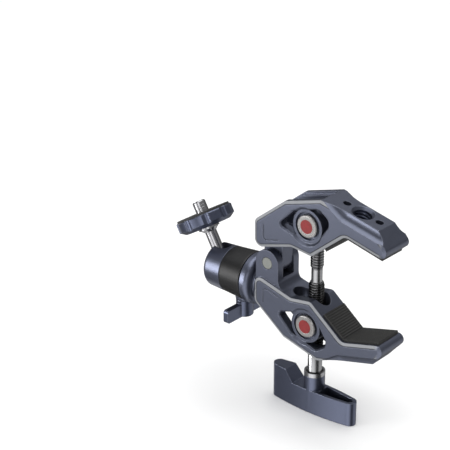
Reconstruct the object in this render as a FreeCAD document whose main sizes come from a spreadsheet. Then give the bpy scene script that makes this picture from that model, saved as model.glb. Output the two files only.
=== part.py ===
import FreeCAD, Part
import os
import re
import Sketcher

# Super clamp with two V jaws, a double ended lead screw and a small ball head.
# Jaw profiles are drawn about the hinge pin: x runs towards the jaw tips and z up
# along the screw. The part's own origin is the middle of a gripped rod.

SIZES = [
    ("grip_reach", 43.0, "hinge pin to the middle of a gripped rod"),
    ("jaw_width", 17.8, "width across the jaw sides"),
    ("rear_face", 6.4, "rear plane of the jaws behind the pin"),
    ("rear_top", 20.0, "top of the rear plane"),
    ("rear_low", 6.6, "bottom of the rear plane"),
    ("shoulder_x", 10.4, "bend of the back of the jaw"),
    ("shoulder_z", 32.9, "bend of the back of the jaw"),
    ("ridge_x", 29.6, "ridge where the arm begins"),
    ("ridge_z", 38.2, "ridge where the arm begins"),
    ("arm_slope", 14.2, "fall of the arm's outer face in degrees"),
    ("arm_front", 57.7, "front end of the arm's outer face"),
    ("nose_x", 64.0, "foremost corner"),
    ("nose_z", 23.4, "foremost corner"),
    ("lip_x", 62.2, "front end of the inner face"),
    ("lip_z", 19.9, "front end of the inner face"),
    ("throat_x", 42.6, "deepest corner of the V"),
    ("throat_z", 25.0, "deepest corner of the V"),
    ("knee_x", 25.2, "inner corner beside the screw"),
    ("knee_z", 10.9, "inner corner beside the screw"),
    ("heel_x", 14.3, "inner corner behind the screw"),
    ("heel_z", 12.4, "inner corner behind the screw"),
    ("corner_round", 2.6, "round of the outline's front and inner corners"),
    ("rear_round", 3.6, "round of the outline's rear corners"),
    ("throat_round", 4.0, "round of the V"),
    ("bevel_run", 1.65, "side bevel measured on the side face"),
    ("bevel_depth", 0.6, "side bevel measured across the jaw"),
    ("window_tail_x", 6.8, "rear point of the side window"),
    ("window_tail_z", 21.3, "rear point of the side window"),
    ("window_top_x", 15.2, "upper rear corner of the window"),
    ("window_top_z", 29.6, "upper rear corner of the window"),
    ("window_peak_x", 28.6, "upper front corner of the window"),
    ("window_peak_z", 33.6, "upper front corner of the window"),
    ("window_front_x", 35.2, "front corner of the window"),
    ("window_front_z", 29.0, "front corner of the window"),
    ("window_low_x", 28.6, "lower front corner of the window"),
    ("window_low_z", 19.2, "lower front corner of the window"),
    ("window_foot_x", 16.6, "lower rear corner of the window"),
    ("window_foot_z", 18.6, "lower rear corner of the window"),
    ("window_round", 1.6, "round of the window's rear corners"),
    ("window_front_round", 3.5, "round of the window's front corners"),
    ("window_bevel", 0.7, "bevel round the window"),
    ("nut_x", 22.3, "nut and screw axis in front of the pin"),
    ("nut_z", 24.0, "nut axis above the pin"),
    ("nut_radius", 5.3, "barrel nut"),
    ("nut_half", 8.4, "half length of the barrel nut"),
    ("nut_play", 0.07, "running gap round the barrel nut"),
    ("nut_edge", 0.5, "bevel of the nut's rims"),
    ("cap_radius", 3.2, "red cap in the nut's end"),
    ("cap_thick", 0.9, "red cap in the nut's end"),
    ("boss_radius", 7.8, "boss ring round the nut"),
    ("boss_half", 7.7, "half length of the boss ring"),
    ("dish_radius", 8.9, "rim of the dish round the boss ring"),
    ("mouth_radius", 6.4, "open mouth of the boss ring"),
    ("mouth_floor", 5.9, "floor of the mouth from the middle plane"),
    ("channel_half", 4.3, "half width of the channel for the screw"),
    ("channel_rear", 0.6, "rear end of the channel behind the pin"),
    ("channel_front", 29.2, "front end of the channel"),
    ("channel_floor", 16.6, "floor of the channel behind the screw"),
    ("slot_rear", 10.4, "rear end of the screw slot"),
    ("recess_half", 5.9, "half width of the shallow recess in the back"),
    ("recess_depth", 1.3, "depth of that recess"),
    ("recess_rear", 2.2, "rear end of that recess behind the pin"),
    ("cove_radius", 4.0, "cove along the arm's sides"),
    ("cove_out", 1.1, "cove's axis outside the side face"),
    ("cove_bend", 42.0, "bend of the cove in front of the pin"),
    ("cove_slope", 33.4, "fall of the cove behind its bend in degrees"),
    ("cove_run", 16.0, "length of the cove behind its bend"),
    ("mark_width", 0.5, "engraved line on the sides"),
    ("mark_depth", 0.3, "engraved line on the sides"),
    ("mark_inset", 5.1, "line's distance from the rear plane"),
    ("mark_rise", 3.1, "line's distance above the lower edge"),
    ("mark_top", 19.1, "upper end of the line"),
    ("mark_cut", 1.7, "slanted corner of the line"),
    ("mark_end", 7.8, "front end of the line"),
    ("tap_radius", 4.0, "core of the accessory thread"),
    ("tap_mouth", 5.2, "countersink of the accessory thread"),
    ("tap_depth", 8.0, "depth of the accessory thread"),
    ("tap_x", 45.7, "accessory thread in front of the pin"),
    ("locator_radius", 1.8, "anti-twist hole"),
    ("locator_depth", 3.5, "anti-twist hole"),
    ("locator_offset", 8.6, "anti-twist hole from the thread"),
    ("pin_radius", 2.9, "hinge pin"),
    ("pin_play", 0.05, "running gap round the hinge pin"),
    ("ear_radius", 6.4, "round top of the ears"),
    ("ear_outer", 7.5, "outer faces of the ears"),
    ("ear_inner", 3.9, "inner faces of the ears"),
    ("ear_foot", 14.0, "foot of the ears inside the lower jaw"),
    ("ear_fillet", 4.5, "hollow in front of the ears"),
    ("slot_floor", 6.5, "floor between the ears below the pin"),
    ("tongue_radius", 5.8, "round end of the tongue"),
    ("tongue_half", 3.6, "half width of the tongue"),
    ("tongue_rear", 4.6, "rear face of the tongue behind the pin"),
    ("tongue_top", 12.0, "root of the tongue inside the upper jaw"),
    ("rubber_half", 7.2, "half width of the rubber pads"),
    ("rubber_thick", 1.4, "thickness of the rubber pads"),
    ("rubber_start", 8.0, "pad's start from the knee"),
    ("rubber_end", 1.0, "pad's end short of the lip"),
    ("upper_thread", 3.0, "upper thread, outer radius"),
    ("lower_thread", 3.55, "lower thread, outer radius"),
    ("thread_play", 0.05, "gap between thread and nut"),
    ("neck_radius", 2.5, "smooth neck between the threads"),
    ("shank_radius", 3.3, "smooth shank above the handle"),
    ("screw_top", 31.0, "upper end of the screw above the pin"),
    ("neck_top", 1.7, "upper end of the neck above the pin"),
    ("neck_low", 4.6, "lower end of the neck below the pin"),
    ("thread_low", 38.5, "lower end of the lower thread below the pin"),
    ("screw_low", 66.0, "lower end of the screw below the pin"),
    ("screw_bevel", 0.6, "bevel at the screw's steps"),
    ("collar_top", 49.0, "top of the steel collar below the pin"),
    ("collar_thick", 2.0, "steel collar"),
    ("collar_play", 0.1, "gap between collar and shank"),
    ("collar_dish", 0.9, "depth of the collar's dished top"),
    ("hub_radius", 4.8, "handle hub and collar"),
    ("bar_top", 57.8, "top of the handle bar below the pin"),
    ("bar_low", 69.2, "underside of the handle bar below the pin"),
    ("bar_half", 23.0, "half length of the handle bar"),
    ("bar_end", 3.0, "round ends of the handle bar"),
    ("horn_top", 52.3, "top of the horn below the pin"),
    ("horn_flat", 13.9, "inner end of the horn's flat top"),
    ("horn_foot", 9.4, "foot of the horn's slope"),
    ("bar_wall", 1.4, "wall round the handle's pocket"),
    ("bar_pocket", 8.0, "depth of the handle's pocket"),
    ("cap_screw_radius", 1.5, "handle screw shank"),
    ("cap_screw_head", 2.8, "handle screw head"),
    ("cap_screw_sink", 1.6, "handle screw head's height"),
    ("cap_screw_length", 9.0, "handle screw's length"),
    ("head_drop", 13.1, "ball head axis below the pin"),
    ("base_foot", 8.8, "radius of the base against the jaw"),
    ("base_neck", 1.2, "neck between the jaw and the base's disc"),
    ("base_round", 3.0, "round shoulder of the base's disc"),
    ("flange_radius", 12.2, "disc of the base"),
    ("flange_edge", 0.8, "bevel on the disc's far side"),
    ("base_length", 7.0, "jaw's rear plane to the disc's far side"),
    ("spigot_radius", 7.0, "pivot spigot of the base"),
    ("spigot_length", 8.6, "pivot spigot of the base"),
    ("spigot_groove", 1.4, "depth of the clamping groove in the spigot"),
    ("pan_play", 0.1, "gap round the spigot"),
    ("pan_gap", 0.2, "gap between disc and housing"),
    ("bolt_radius", 2.0, "bolt that holds the base"),
    ("bolt_head", 3.5, "bolt head"),
    ("bolt_head_high", 4.0, "bolt head"),
    ("bolt_reach", 8.0, "bolt's reach into the jaw"),
    ("bolt_sink", 4.2, "depth of the bolt's counterbore"),
    ("ball_x", 31.4, "ball centre behind the pin"),
    ("ball_radius", 7.5, "ball"),
    ("ball_play", 0.1, "gap round the ball"),
    ("cup_end", 36.8, "open end of the housing behind the pin"),
    ("cup_radius", 10.6, "housing at its open end"),
    ("cup_root", 11.0, "housing beside the grip sleeve"),
    ("cup_round", 2.6, "round of the housing's open end"),
    ("sleeve_front", 26.1, "sleeve's edge nearest the ball behind the pin"),
    ("sleeve_radius", 11.9, "sleeve at its wide end"),
    ("sleeve_seat", 9.6, "seat of the sleeve on the housing"),
    ("notch_half", 3.5, "half width of the stem's notch"),
    ("seat_radius", 6.8, "friction seat behind the ball"),
    ("seat_length", 6.6, "friction seat behind the ball"),
    ("seat_bore", 3.0, "friction seat behind the ball"),
    ("wing_x", 19.3, "wing screw axis behind the pin"),
    ("wing_boss", 4.4, "boss for the wing screw"),
    ("wing_boss_low", 12.3, "boss's lower end below the head's axis"),
    ("wing_thread", 2.5, "wing screw, outer radius"),
    ("wing_play", 0.05, "gap round the wing screw"),
    ("wing_tip", 0.2, "wing screw's blunt tip"),
    ("wing_tip_gap", 0.4, "gap at the wing screw's tip"),
    ("wing_hub", 4.2, "hub of the wing knob"),
    ("wing_hub_gap", 0.2, "gap between boss and knob"),
    ("wing_hub_high", 8.6, "hub of the wing knob"),
    ("wing_half", 13.6, "half span of the wings"),
    ("wing_thick", 2.8, "wings"),
    ("wing_high", 6.4, "wings"),
    ("wing_hub_edge", 0.5, "bevel of the knob's hub"),
    ("wing_round", 1.2, "round of the wings' corners"),
    ("stem_tilt", 30.0, "stem's lean from upright in degrees"),
    ("stem_radius", 2.85, "ball stem"),
    ("stem_top", 20.0, "stem's flange, top from the ball centre"),
    ("flare_radius", 5.2, "stem's flange"),
    ("flare_thick", 0.9, "stem's flange"),
    ("flare_cone", 1.6, "cone under the stem's flange"),
    ("journal_radius", 3.5, "journal that the wheel turns on"),
    ("stud_radius", 3.175, "camera stud, outer radius"),
    ("stud_length", 5.4, "camera stud above the rubber"),
    ("wheel_gap", 0.1, "gap between stem flange and wheel"),
    ("wheel_radius", 13.8, "thumbwheel"),
    ("wheel_thick", 6.4, "thumbwheel"),
    ("wheel_bevel", 1.8, "height of the bevel under the thumbwheel"),
    ("wheel_bevel_run", 2.7, "width of the bevel under the thumbwheel"),
    ("wheel_edge", 0.4, "bevel of the thumbwheel's upper rim"),
    ("wheel_play", 0.05, "gap between journal and wheel"),
    ("flute_count", 9, "flutes round the thumbwheel"),
    ("flute_radius", 2.1, "flute"),
    ("flute_turn", 2.6, "first flute's place in degrees"),
    ("flute_bite", 0.9, "flute's depth"),
    ("top_rubber_radius", 13.0, "rubber disc on the thumbwheel"),
    ("top_rubber_thick", 0.9, "rubber disc on the thumbwheel"),
    ("top_rubber_bore", 4.2, "rubber disc on the thumbwheel"),
]

V = FreeCAD.Vector
ALONG_Y = FreeCAD.Rotation(V(1, 0, 0), -90)
AGAINST_Y = FreeCAD.Rotation(V(1, 0, 0), 90)
ALONG_X = FreeCAD.Rotation(V(0, 1, 0), 90)
BACKWARDS = FreeCAD.Rotation(V(0, 1, 0), -90)
NAMES = {name for name, size, note in SIZES}
FAR = "2 * grip_reach"

doc = FreeCAD.newDocument("clamp")
sheet = doc.addObject("Spreadsheet::Sheet", "Sizes")
for row, (name, size, note) in enumerate(SIZES, 1):
    sheet.set(f"A{row}", name)
    sheet.set(f"B{row}", str(size))
    sheet.set(f"C{row}", note)
    sheet.setAlias(f"B{row}", name)
doc.recompute()


def linked(text):
    """Return the expression with each size's name led by its sheet."""
    return re.sub(r"[a-z_]+", lambda m: f"Sizes.{m[0]}" if m[0] in NAMES else m[0], text)


def number(text):
    """Return the present value of an expression."""
    value = sheet.evalExpression(linked(text))
    return float(getattr(value, "Value", value))


def bind(item, place, text):
    """Tie one property of an object to the sheet."""
    item.setExpression(place, linked(text))


def put(item, at, turn=None):
    """Place an object by three expressions and an optional rotation."""
    if turn is not None:
        item.Placement = FreeCAD.Placement(V(), turn)
    for axis, text in zip("xyz", at):
        bind(item, f"Placement.Base.{axis}", text)
    return item


def new_body(label, at=("-grip_reach", "0", "0"), tilt=None):
    """Start a sub-part; tilt is an angle about the y axis."""
    body = doc.addObject("PartDesign::Body", label)
    body.Label = label
    put(body, at, ALONG_X if tilt else None)
    if tilt:
        bind(body, "Placement.Rotation.Angle", tilt)
    return body


def solid(body, kind, name, at, turn=None, **sizes):
    """Add or cut a primitive such as AdditiveCylinder in a body."""
    item = body.newObject(f"PartDesign::{kind}", name)
    put(item, at, turn)
    for key, text in sizes.items():
        bind(item, key, text)
    doc.recompute()
    return item


def sketch(body, name, points, role="XZ_Plane"):
    """Draw a closed outline of straight sides, each corner tied to the sheet."""
    item = body.newObject("Sketcher::SketchObject", name)
    plane = next(f for f in body.Origin.OriginFeatures if f.Role == role)
    item.AttachmentSupport = [(plane, "")]
    item.MapMode = "FlatFace"
    corners = [V(number(a), number(b), 0) for a, b in points]
    for here, there in zip(corners, corners[1:] + corners[:1]):
        item.addGeometry(Part.LineSegment(here, there), False)
    for side in range(len(corners)):
        follower = (side + 1) % len(corners)
        item.addConstraint(Sketcher.Constraint("Coincident", side, 2, follower, 1))
    for side, (corner, texts) in enumerate(zip(corners, points)):
        for kind, value, text in zip(("DistanceX", "DistanceY"), corner, texts):
            index = item.addConstraint(Sketcher.Constraint(kind, -1, 1, side, 1, value))
            bind(item, f"Constraints[{index}]", text)
    return item


def across(body, kind, name, points, width, plane="0"):
    """Pad or pocket a side outline evenly to both sides of a plane across y."""
    item = body.newObject(f"PartDesign::{kind}", name)
    profile = sketch(body, f"{name}_sketch", points)
    bind(profile, "AttachmentOffset.Base.z", plane)
    item.Profile = profile
    item.SideType = "Symmetric"
    bind(item, "Length", width)
    doc.recompute()
    return item


def turned(body, kind, name, points, axis):
    """Revolve an outline about the sketch's H_Axis or V_Axis."""
    item = body.newObject(f"PartDesign::{kind}", name)
    profile = sketch(body, f"{name}_sketch", points)
    item.Profile = profile
    item.ReferenceAxis = (profile, [axis])
    item.Angle = 360
    doc.recompute()
    return item


def edges_across(shape, spots):
    """Name the edges that run along y through the given (x, z) spots."""
    found = []
    wanted = [(number(a), number(b)) for a, b in spots]
    for index, edge in enumerate(shape.Edges, 1):
        box = edge.BoundBox
        if box.XLength + box.ZLength > 1e-3:
            continue
        if any(abs(box.Center.x - x) + abs(box.Center.z - z) < 1e-2 for x, z in wanted):
            found.append(f"Edge{index}")
    return found


def dress(body, kind, name, names, **sizes):
    """Round or bevel named edges of the body's last feature."""
    base = body.Tip
    item = body.newObject(f"PartDesign::{kind}", name)
    item.Base = (base, names)
    for key, text in sizes.items():
        bind(item, key, text)
    doc.recompute()
    return item


def rims(shape, centre, axis, radius):
    """Name the circular edges with this axis, radius and centre line."""
    found = []
    for index, edge in enumerate(shape.Edges, 1):
        curve = edge.Curve
        if not isinstance(curve, Part.Circle) or abs(curve.Radius - radius) > 1e-3:
            continue
        if abs(abs(curve.Axis.dot(axis)) - 1) < 1e-6:
            offset = curve.Center - centre
            if (offset - axis * offset.dot(axis)).Length < 1e-2:
                found.append(f"Edge{index}")
    return found


# The shared jaw form. side is 1 for the upper jaw and -1 for the lower one.

FRONT_Z = "ridge_z - (arm_front - ridge_x) * tan(arm_slope)"
JAW = [
    ("-rear_face", "rear_top"),
    ("shoulder_x", "shoulder_z"),
    ("ridge_x", "ridge_z"),
    ("arm_front", FRONT_Z),
    ("nose_x", "nose_z"),
    ("lip_x", "lip_z"),
    ("throat_x", "throat_z"),
    ("knee_x", "knee_z"),
    ("heel_x", "heel_z"),
    ("-rear_face", "rear_low"),
]
WINDOW = [
    ("window_tail_x", "window_tail_z"),
    ("window_top_x", "window_top_z"),
    ("window_peak_x", "window_peak_z"),
    ("window_front_x", "window_front_z"),
    ("window_low_x", "window_low_z"),
    ("window_foot_x", "window_foot_z"),
]
BACK_SLOPE = "((shoulder_z - rear_top) / (shoulder_x + rear_face))"
TOP_SLOPE = "((ridge_z - shoulder_z) / (ridge_x - shoulder_x))"
RECESS = [
    ("-recess_rear", f"shoulder_z - (shoulder_x + recess_rear) * {BACK_SLOPE} - recess_depth"),
    ("shoulder_x", "shoulder_z - recess_depth"),
    ("channel_front", f"shoulder_z + (channel_front - shoulder_x) * {TOP_SLOPE} - recess_depth"),
    ("channel_front", "ridge_z + recess_depth"),
    ("-recess_rear", "ridge_z + recess_depth"),
]


def sided(side, points):
    """Mirror an outline below the pin for the lower jaw."""
    return [(a, f"{side} * ({b})") for a, b in points]


def low_end(side, near, length):
    """Return where a vertical tool starts that runs away from the pin."""
    return near if side > 0 else f"-({near}) - ({length})"


def jaw_blank(body, side):
    """Make the outline, its rounds and the wide bevels along both sides."""
    across(body, "Pad", "blank", sided(side, JAW), "jaw_width")
    rounds = [
        ("corners", [JAW[4], JAW[5], JAW[7]], "corner_round"),
        ("rear_corners", [JAW[0], JAW[9]], "rear_round"),
        ("hollows", [JAW[6], JAW[8]], "throat_round"),
    ]
    for name, spots, radius in rounds:
        names = edges_across(body.Tip.Shape, sided(side, spots))
        dress(body, "Fillet", name, names, Radius=radius)
    half = number("jaw_width / 2")
    sides = [
        f"Face{index}"
        for index, face in enumerate(body.Tip.Shape.Faces, 1)
        if abs(abs(face.CenterOfMass.y) - half) < 1e-3
    ]
    bevel = dress(body, "Chamfer", "bevels", sides, Size="bevel_depth", Size2="bevel_run")
    bevel.ChamferType = "Two distances"
    doc.recompute()


def jaw_openings(body, side):
    """Cut the side window, boss ring, nut bore, screw channel and back recess."""
    across(body, "Pocket", "window", sided(side, WINDOW), FAR)
    rounds = [
        ("window_front_corners", WINDOW[2:5], "window_front_round"),
        ("window_rear_corners", WINDOW[:2] + WINDOW[5:], "window_round"),
    ]
    for name, spots, radius in rounds:
        names = edges_across(body.Tip.Shape, sided(side, spots))
        dress(body, "Fillet", name, names, Radius=radius)
    half = number("jaw_width / 2")
    inside = number("window_tail_x") - 0.1, number("window_front_x") + 0.1
    lip = [
        f"Edge{index}"
        for index, edge in enumerate(body.Tip.Shape.Edges, 1)
        if abs(abs(edge.CenterOfMass.y) - half) < 1e-3
        and edge.BoundBox.XMin > inside[0]
        and edge.BoundBox.XMax < inside[1]
        and abs(edge.CenterOfMass.z) < number("window_peak_z") + 0.1
        and abs(edge.CenterOfMass.z) > number("window_foot_z") - 0.1
    ]
    dress(body, "Chamfer", "window_bevels", lip, Size="window_bevel")
    nut_z = f"{side} * nut_z"
    solid(body, "AdditiveCylinder", "boss", ("nut_x", "-boss_half", nut_z), ALONG_Y,
          Radius="boss_radius", Height="2 * boss_half")
    solid(body, "SubtractiveCylinder", "nut_bore", ("nut_x", "-jaw_width / 2", nut_z), ALONG_Y,
          Radius="nut_radius + nut_play", Height="jaw_width")
    for end, turn in (("near", AGAINST_Y), ("far", ALONG_Y)):
        way = "-1" if end == "near" else "1"
        solid(body, "SubtractiveCylinder", f"{end}_mouth", ("nut_x", f"{way} * mouth_floor", nut_z), turn,
              Radius="mouth_radius", Height="jaw_width / 2 - mouth_floor")
        solid(body, "SubtractiveCone", f"{end}_dish", ("nut_x", f"{way} * boss_half", nut_z), turn,
              Radius1="boss_radius", Radius2="dish_radius", Height="jaw_width / 2 - boss_half")
    obround_cut(body, "channel", "-channel_rear", low_end(side, "channel_floor", FAR), FAR)
    obround_cut(body, "screw_slot", "slot_rear", low_end(side, "0", FAR), FAR)
    across(body, "Pocket", "recess", sided(side, RECESS), "2 * recess_half")


def obround_cut(body, name, rear, base, height):
    """Cut a round ended slot that runs from rear to the channel's front end."""
    solid(body, "SubtractiveBox", f"{name}_middle", (f"{rear} + channel_half", "-channel_half", base),
          Length=f"channel_front - channel_half - ({rear} + channel_half)",
          Width="2 * channel_half", Height=height)
    for end, x in (("rear", f"{rear} + channel_half"), ("front", "channel_front - channel_half")):
        solid(body, "SubtractiveCylinder", f"{name}_{end}", (x, "0", base),
              Radius="channel_half", Height=height)


def jaw_coves(body, side):
    """Scoop the bent coves that leave a raised rail along the arm."""
    z = f"(ridge_z - (cove_bend - ridge_x) * tan(arm_slope))"
    pieces = [
        ("front", "cove_bend", z, "arm_slope", "arm_front"),
        ("rear", "cove_bend - cove_run * cos(cove_slope)", f"{z} + cove_run * sin(cove_slope)",
         "cove_slope", "cove_run"),
    ]
    for name, way in (("near", "-1"), ("far", "1")):
        y = f"{way} * (jaw_width / 2 + cove_out)"
        for end, start_x, start_z, slope, length in pieces:
            lean = FreeCAD.Rotation(V(0, 1, 0), 90 + side * number(slope))
            item = solid(body, "SubtractiveCylinder", f"cove_{name}_{end}",
                         (start_x, y, f"{side} * ({start_z})"), lean,
                         Radius="cove_radius", Height=length)
            bind(item, "Placement.Rotation.Angle", f"90 + {side} * {slope}")
        solid(body, "SubtractiveSphere", f"cove_{name}_bend", ("cove_bend", y, f"{side} * {z}"),
              Radius="cove_radius")


def jaw_marks(body, side):
    """Engrave the line that follows the rear and lower edges on both side faces."""
    slope = "((heel_z - rear_low) / (heel_x + rear_face))"
    left = "(-rear_face + mark_inset)"
    turn = f"({left} + mark_cut)"
    low = f"(rear_low + mark_rise + mark_inset * {slope})"
    foot = f"(rear_low + mark_rise + ({turn} + rear_face) * {slope})"
    tip = f"(rear_low + mark_rise + (mark_end + rear_face) * {slope})"
    outline = [
        (left, "mark_top"),
        (left, f"{low} + mark_cut"),
        (turn, foot),
        ("mark_end", tip),
        ("mark_end", f"{tip} + mark_width"),
        (turn, f"{foot} + mark_width"),
        (f"{left} + mark_width", f"{low} + mark_cut + mark_width / 2"),
        (f"{left} + mark_width", "mark_top"),
    ]
    for name, plane in (("near", "-jaw_width / 2"), ("far", "jaw_width / 2")):
        across(body, "Pocket", f"{name}_mark", sided(side, outline), "2 * mark_depth", plane)


def make_upper_jaw():
    """Upper jaw with its tongue and the accessory thread on the arm."""
    body = new_body("upper_jaw")
    jaw_blank(body, 1)
    neck = [
        ("-tongue_rear", "0"),
        ("tongue_radius", "0"),
        ("tongue_radius", "tongue_top"),
        ("-tongue_rear", "tongue_top"),
    ]
    across(body, "Pad", "neck", neck, "2 * tongue_half")
    solid(body, "AdditiveCylinder", "knuckle", ("0", "-tongue_half", "0"), ALONG_Y,
          Radius="tongue_radius", Height="2 * tongue_half")
    jaw_openings(body, 1)
    jaw_coves(body, 1)
    jaw_marks(body, 1)
    solid(body, "SubtractiveCylinder", "pin_bore", ("0", "-tongue_half", "0"), ALONG_Y,
          Radius="pin_radius + pin_play", Height="2 * tongue_half")
    holes = [
        ("tap", "0", "tap_radius", "tap_depth"),
        ("rear_locator", "-locator_offset", "locator_radius", "locator_depth"),
        ("front_locator", "locator_offset", "locator_radius", "locator_depth"),
    ]
    for name, along, radius, depth in holes:
        x = f"tap_x + ({along}) * cos(arm_slope)"
        z = f"ridge_z - (tap_x - ridge_x) * tan(arm_slope) - ({along}) * sin(arm_slope)"
        item = solid(body, "SubtractiveCylinder", name,
                     (f"{x} - ({depth}) * sin(arm_slope)", "0", f"{z} - ({depth}) * cos(arm_slope)"),
                     ALONG_X, Radius=radius, Height=f"2 * {depth}")
        bind(item, "Placement.Rotation.Angle", "arm_slope")
    sink = "(tap_mouth - tap_radius)"
    item = solid(body, "SubtractiveCone", "tap_countersink",
                 (f"tap_x - {sink} * sin(arm_slope)", "0",
                  f"ridge_z - (tap_x - ridge_x) * tan(arm_slope) - {sink} * cos(arm_slope)"),
                 ALONG_X, Radius1="tap_radius", Radius2=f"tap_radius + 2 * {sink}", Height=f"2 * {sink}")
    bind(item, "Placement.Rotation.Angle", "arm_slope")


def make_lower_jaw():
    """Lower jaw with the two hinge ears and the seat of the ball head."""
    body = new_body("lower_jaw")
    jaw_blank(body, -1)
    ears = [
        ("-rear_face", "0"),
        ("ear_radius", "0"),
        ("ear_radius", "-ear_foot"),
        ("-rear_face", "-ear_foot"),
    ]
    across(body, "Pad", "ears", ears, "2 * ear_outer")
    slope = "((heel_z - rear_low) / (heel_x + rear_face))"
    names = edges_across(body.Tip.Shape, [("ear_radius", f"-rear_low - (ear_radius + rear_face) * {slope}")])
    dress(body, "Fillet", "ear_hollow", names, Radius="ear_fillet")
    solid(body, "AdditiveCylinder", "ear_tops", ("0", "-ear_outer", "0"), ALONG_Y,
          Radius="ear_radius", Height="2 * ear_outer")
    solid(body, "SubtractiveBox", "ear_slot", ("-grip_reach", "-ear_inner", "-slot_floor"),
          Length=FAR, Width="2 * ear_inner", Height="slot_floor + 2 * ear_radius")
    solid(body, "SubtractiveCylinder", "pin_bore", ("0", "-ear_outer", "0"), ALONG_Y,
          Radius="pin_radius", Height="2 * ear_outer")
    jaw_openings(body, -1)
    jaw_coves(body, -1)
    jaw_marks(body, -1)
    solid(body, "SubtractiveCylinder", "bolt_hole", ("-rear_face", "0", "-head_drop"), ALONG_X,
          Radius="bolt_radius", Height="bolt_reach")


def make_pads():
    """Rubber pads that line each V."""
    rise = "atan2(throat_z - knee_z; throat_x - knee_x)"
    fall = "atan2(throat_z - lip_z; lip_x - throat_x)"
    reach = "(sqrt((lip_x - throat_x) ^ 2 + (throat_z - lip_z) ^ 2) - rubber_end)"
    miter = f"(rubber_thick / (1 + cos({rise} + {fall})))"
    start = (f"knee_x + rubber_start * cos({rise})", f"knee_z + rubber_start * sin({rise})")
    end = (f"throat_x + {reach} * cos({fall})", f"throat_z - {reach} * sin({fall})")
    outline = [
        start,
        ("throat_x", "throat_z"),
        end,
        (f"{end[0]} - rubber_thick * sin({fall})", f"{end[1]} - rubber_thick * cos({fall})"),
        (f"throat_x + {miter} * (sin({rise}) - sin({fall}))",
         f"throat_z - {miter} * (cos({rise}) + cos({fall}))"),
        (f"{start[0]} + rubber_thick * sin({rise})", f"{start[1]} - rubber_thick * cos({rise})"),
    ]
    for label, side in (("upper_pad", 1), ("lower_pad", -1)):
        body = new_body(label)
        across(body, "Pad", "strip", sided(side, outline), "2 * rubber_half")
        names = edges_across(body.Tip.Shape, sided(side, outline[1:2]))
        dress(body, "Fillet", "bend", names, Radius="throat_round")


def make_nuts():
    """Barrel nuts that turn in the jaws, with a red cap in each end."""
    for label, side, thread in (("upper_nut", 1, "upper_thread"), ("lower_nut", -1, "lower_thread")):
        at = ("nut_x - grip_reach", "0", f"{side} * nut_z")
        body = new_body(label, at)
        solid(body, "AdditiveCylinder", "barrel", ("0", "-nut_half", "0"), ALONG_Y,
              Radius="nut_radius", Height="2 * nut_half")
        names = rims(body.Tip.Shape, V(), V(0, 1, 0), number("nut_radius"))
        dress(body, "Chamfer", "rims", names, Size="nut_edge")
        solid(body, "SubtractiveCylinder", "thread", ("0", "0", "-nut_radius"),
              Radius=f"{thread} + thread_play", Height="2 * nut_radius")
        for end, y in (("near", "-nut_half"), ("far", "nut_half - cap_thick")):
            solid(body, "SubtractiveCylinder", f"{end}_seat", ("0", y, "0"), ALONG_Y,
                  Radius="cap_radius", Height="cap_thick")
        caps = []
        for end, y in (("near", "-nut_half"), ("far", "nut_half - cap_thick")):
            cap = doc.addObject("Part::Cylinder", f"{label}_{end}_cap")
            put(cap, ("0", y, "0"), ALONG_Y)
            bind(cap, "Radius", "cap_radius")
            bind(cap, "Height", "cap_thick")
            caps.append(cap)
        pair = doc.addObject("Part::Compound", f"{label}_caps")
        pair.Links = caps
        put(pair, at)


def make_hinge_pin():
    """Plain pin pressed in the ears."""
    body = new_body("hinge_pin")
    solid(body, "AdditiveCylinder", "pin", ("0", "-ear_outer", "0"), ALONG_Y,
          Radius="pin_radius", Height="2 * ear_outer")
    names = rims(body.Tip.Shape, V(), V(0, 1, 0), number("pin_radius"))
    dress(body, "Chamfer", "ends", names, Size="screw_bevel / 2")


SCREW_AXIS = ("nut_x - grip_reach", "0", "0")


def make_lead_screw():
    """Double ended screw: upper and lower thread with a smooth neck between."""
    body = new_body("lead_screw", SCREW_AXIS)
    outline = [
        ("0", "screw_top"),
        ("upper_thread - screw_bevel", "screw_top"),
        ("upper_thread", "screw_top - screw_bevel"),
        ("upper_thread", "neck_top + screw_bevel"),
        ("neck_radius", "neck_top"),
        ("neck_radius", "-neck_low"),
        ("lower_thread - screw_bevel / 2", "-neck_low"),
        ("lower_thread", "-neck_low - screw_bevel"),
        ("lower_thread", "-thread_low + screw_bevel"),
        ("shank_radius", "-thread_low"),
        ("shank_radius", "-screw_low"),
        ("0", "-screw_low"),
    ]
    turned(body, "Revolution", "turned", outline, "V_Axis")
    solid(body, "SubtractiveCylinder", "end_tap", ("0", "0", "-screw_low"),
          Radius="cap_screw_radius", Height="cap_screw_length")


def make_hub_collar():
    """Steel collar that lies on the handle's hub."""
    body = new_body("hub_collar", SCREW_AXIS)
    outline = [
        ("shank_radius + collar_play", "-collar_top - collar_thick"),
        ("hub_radius", "-collar_top - collar_thick"),
        ("hub_radius", "-collar_top"),
        ("hub_radius - screw_bevel", "-collar_top"),
        ("shank_radius + collar_play", "-collar_top - collar_dish"),
    ]
    turned(body, "Revolution", "ring", outline, "V_Axis")


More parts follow.
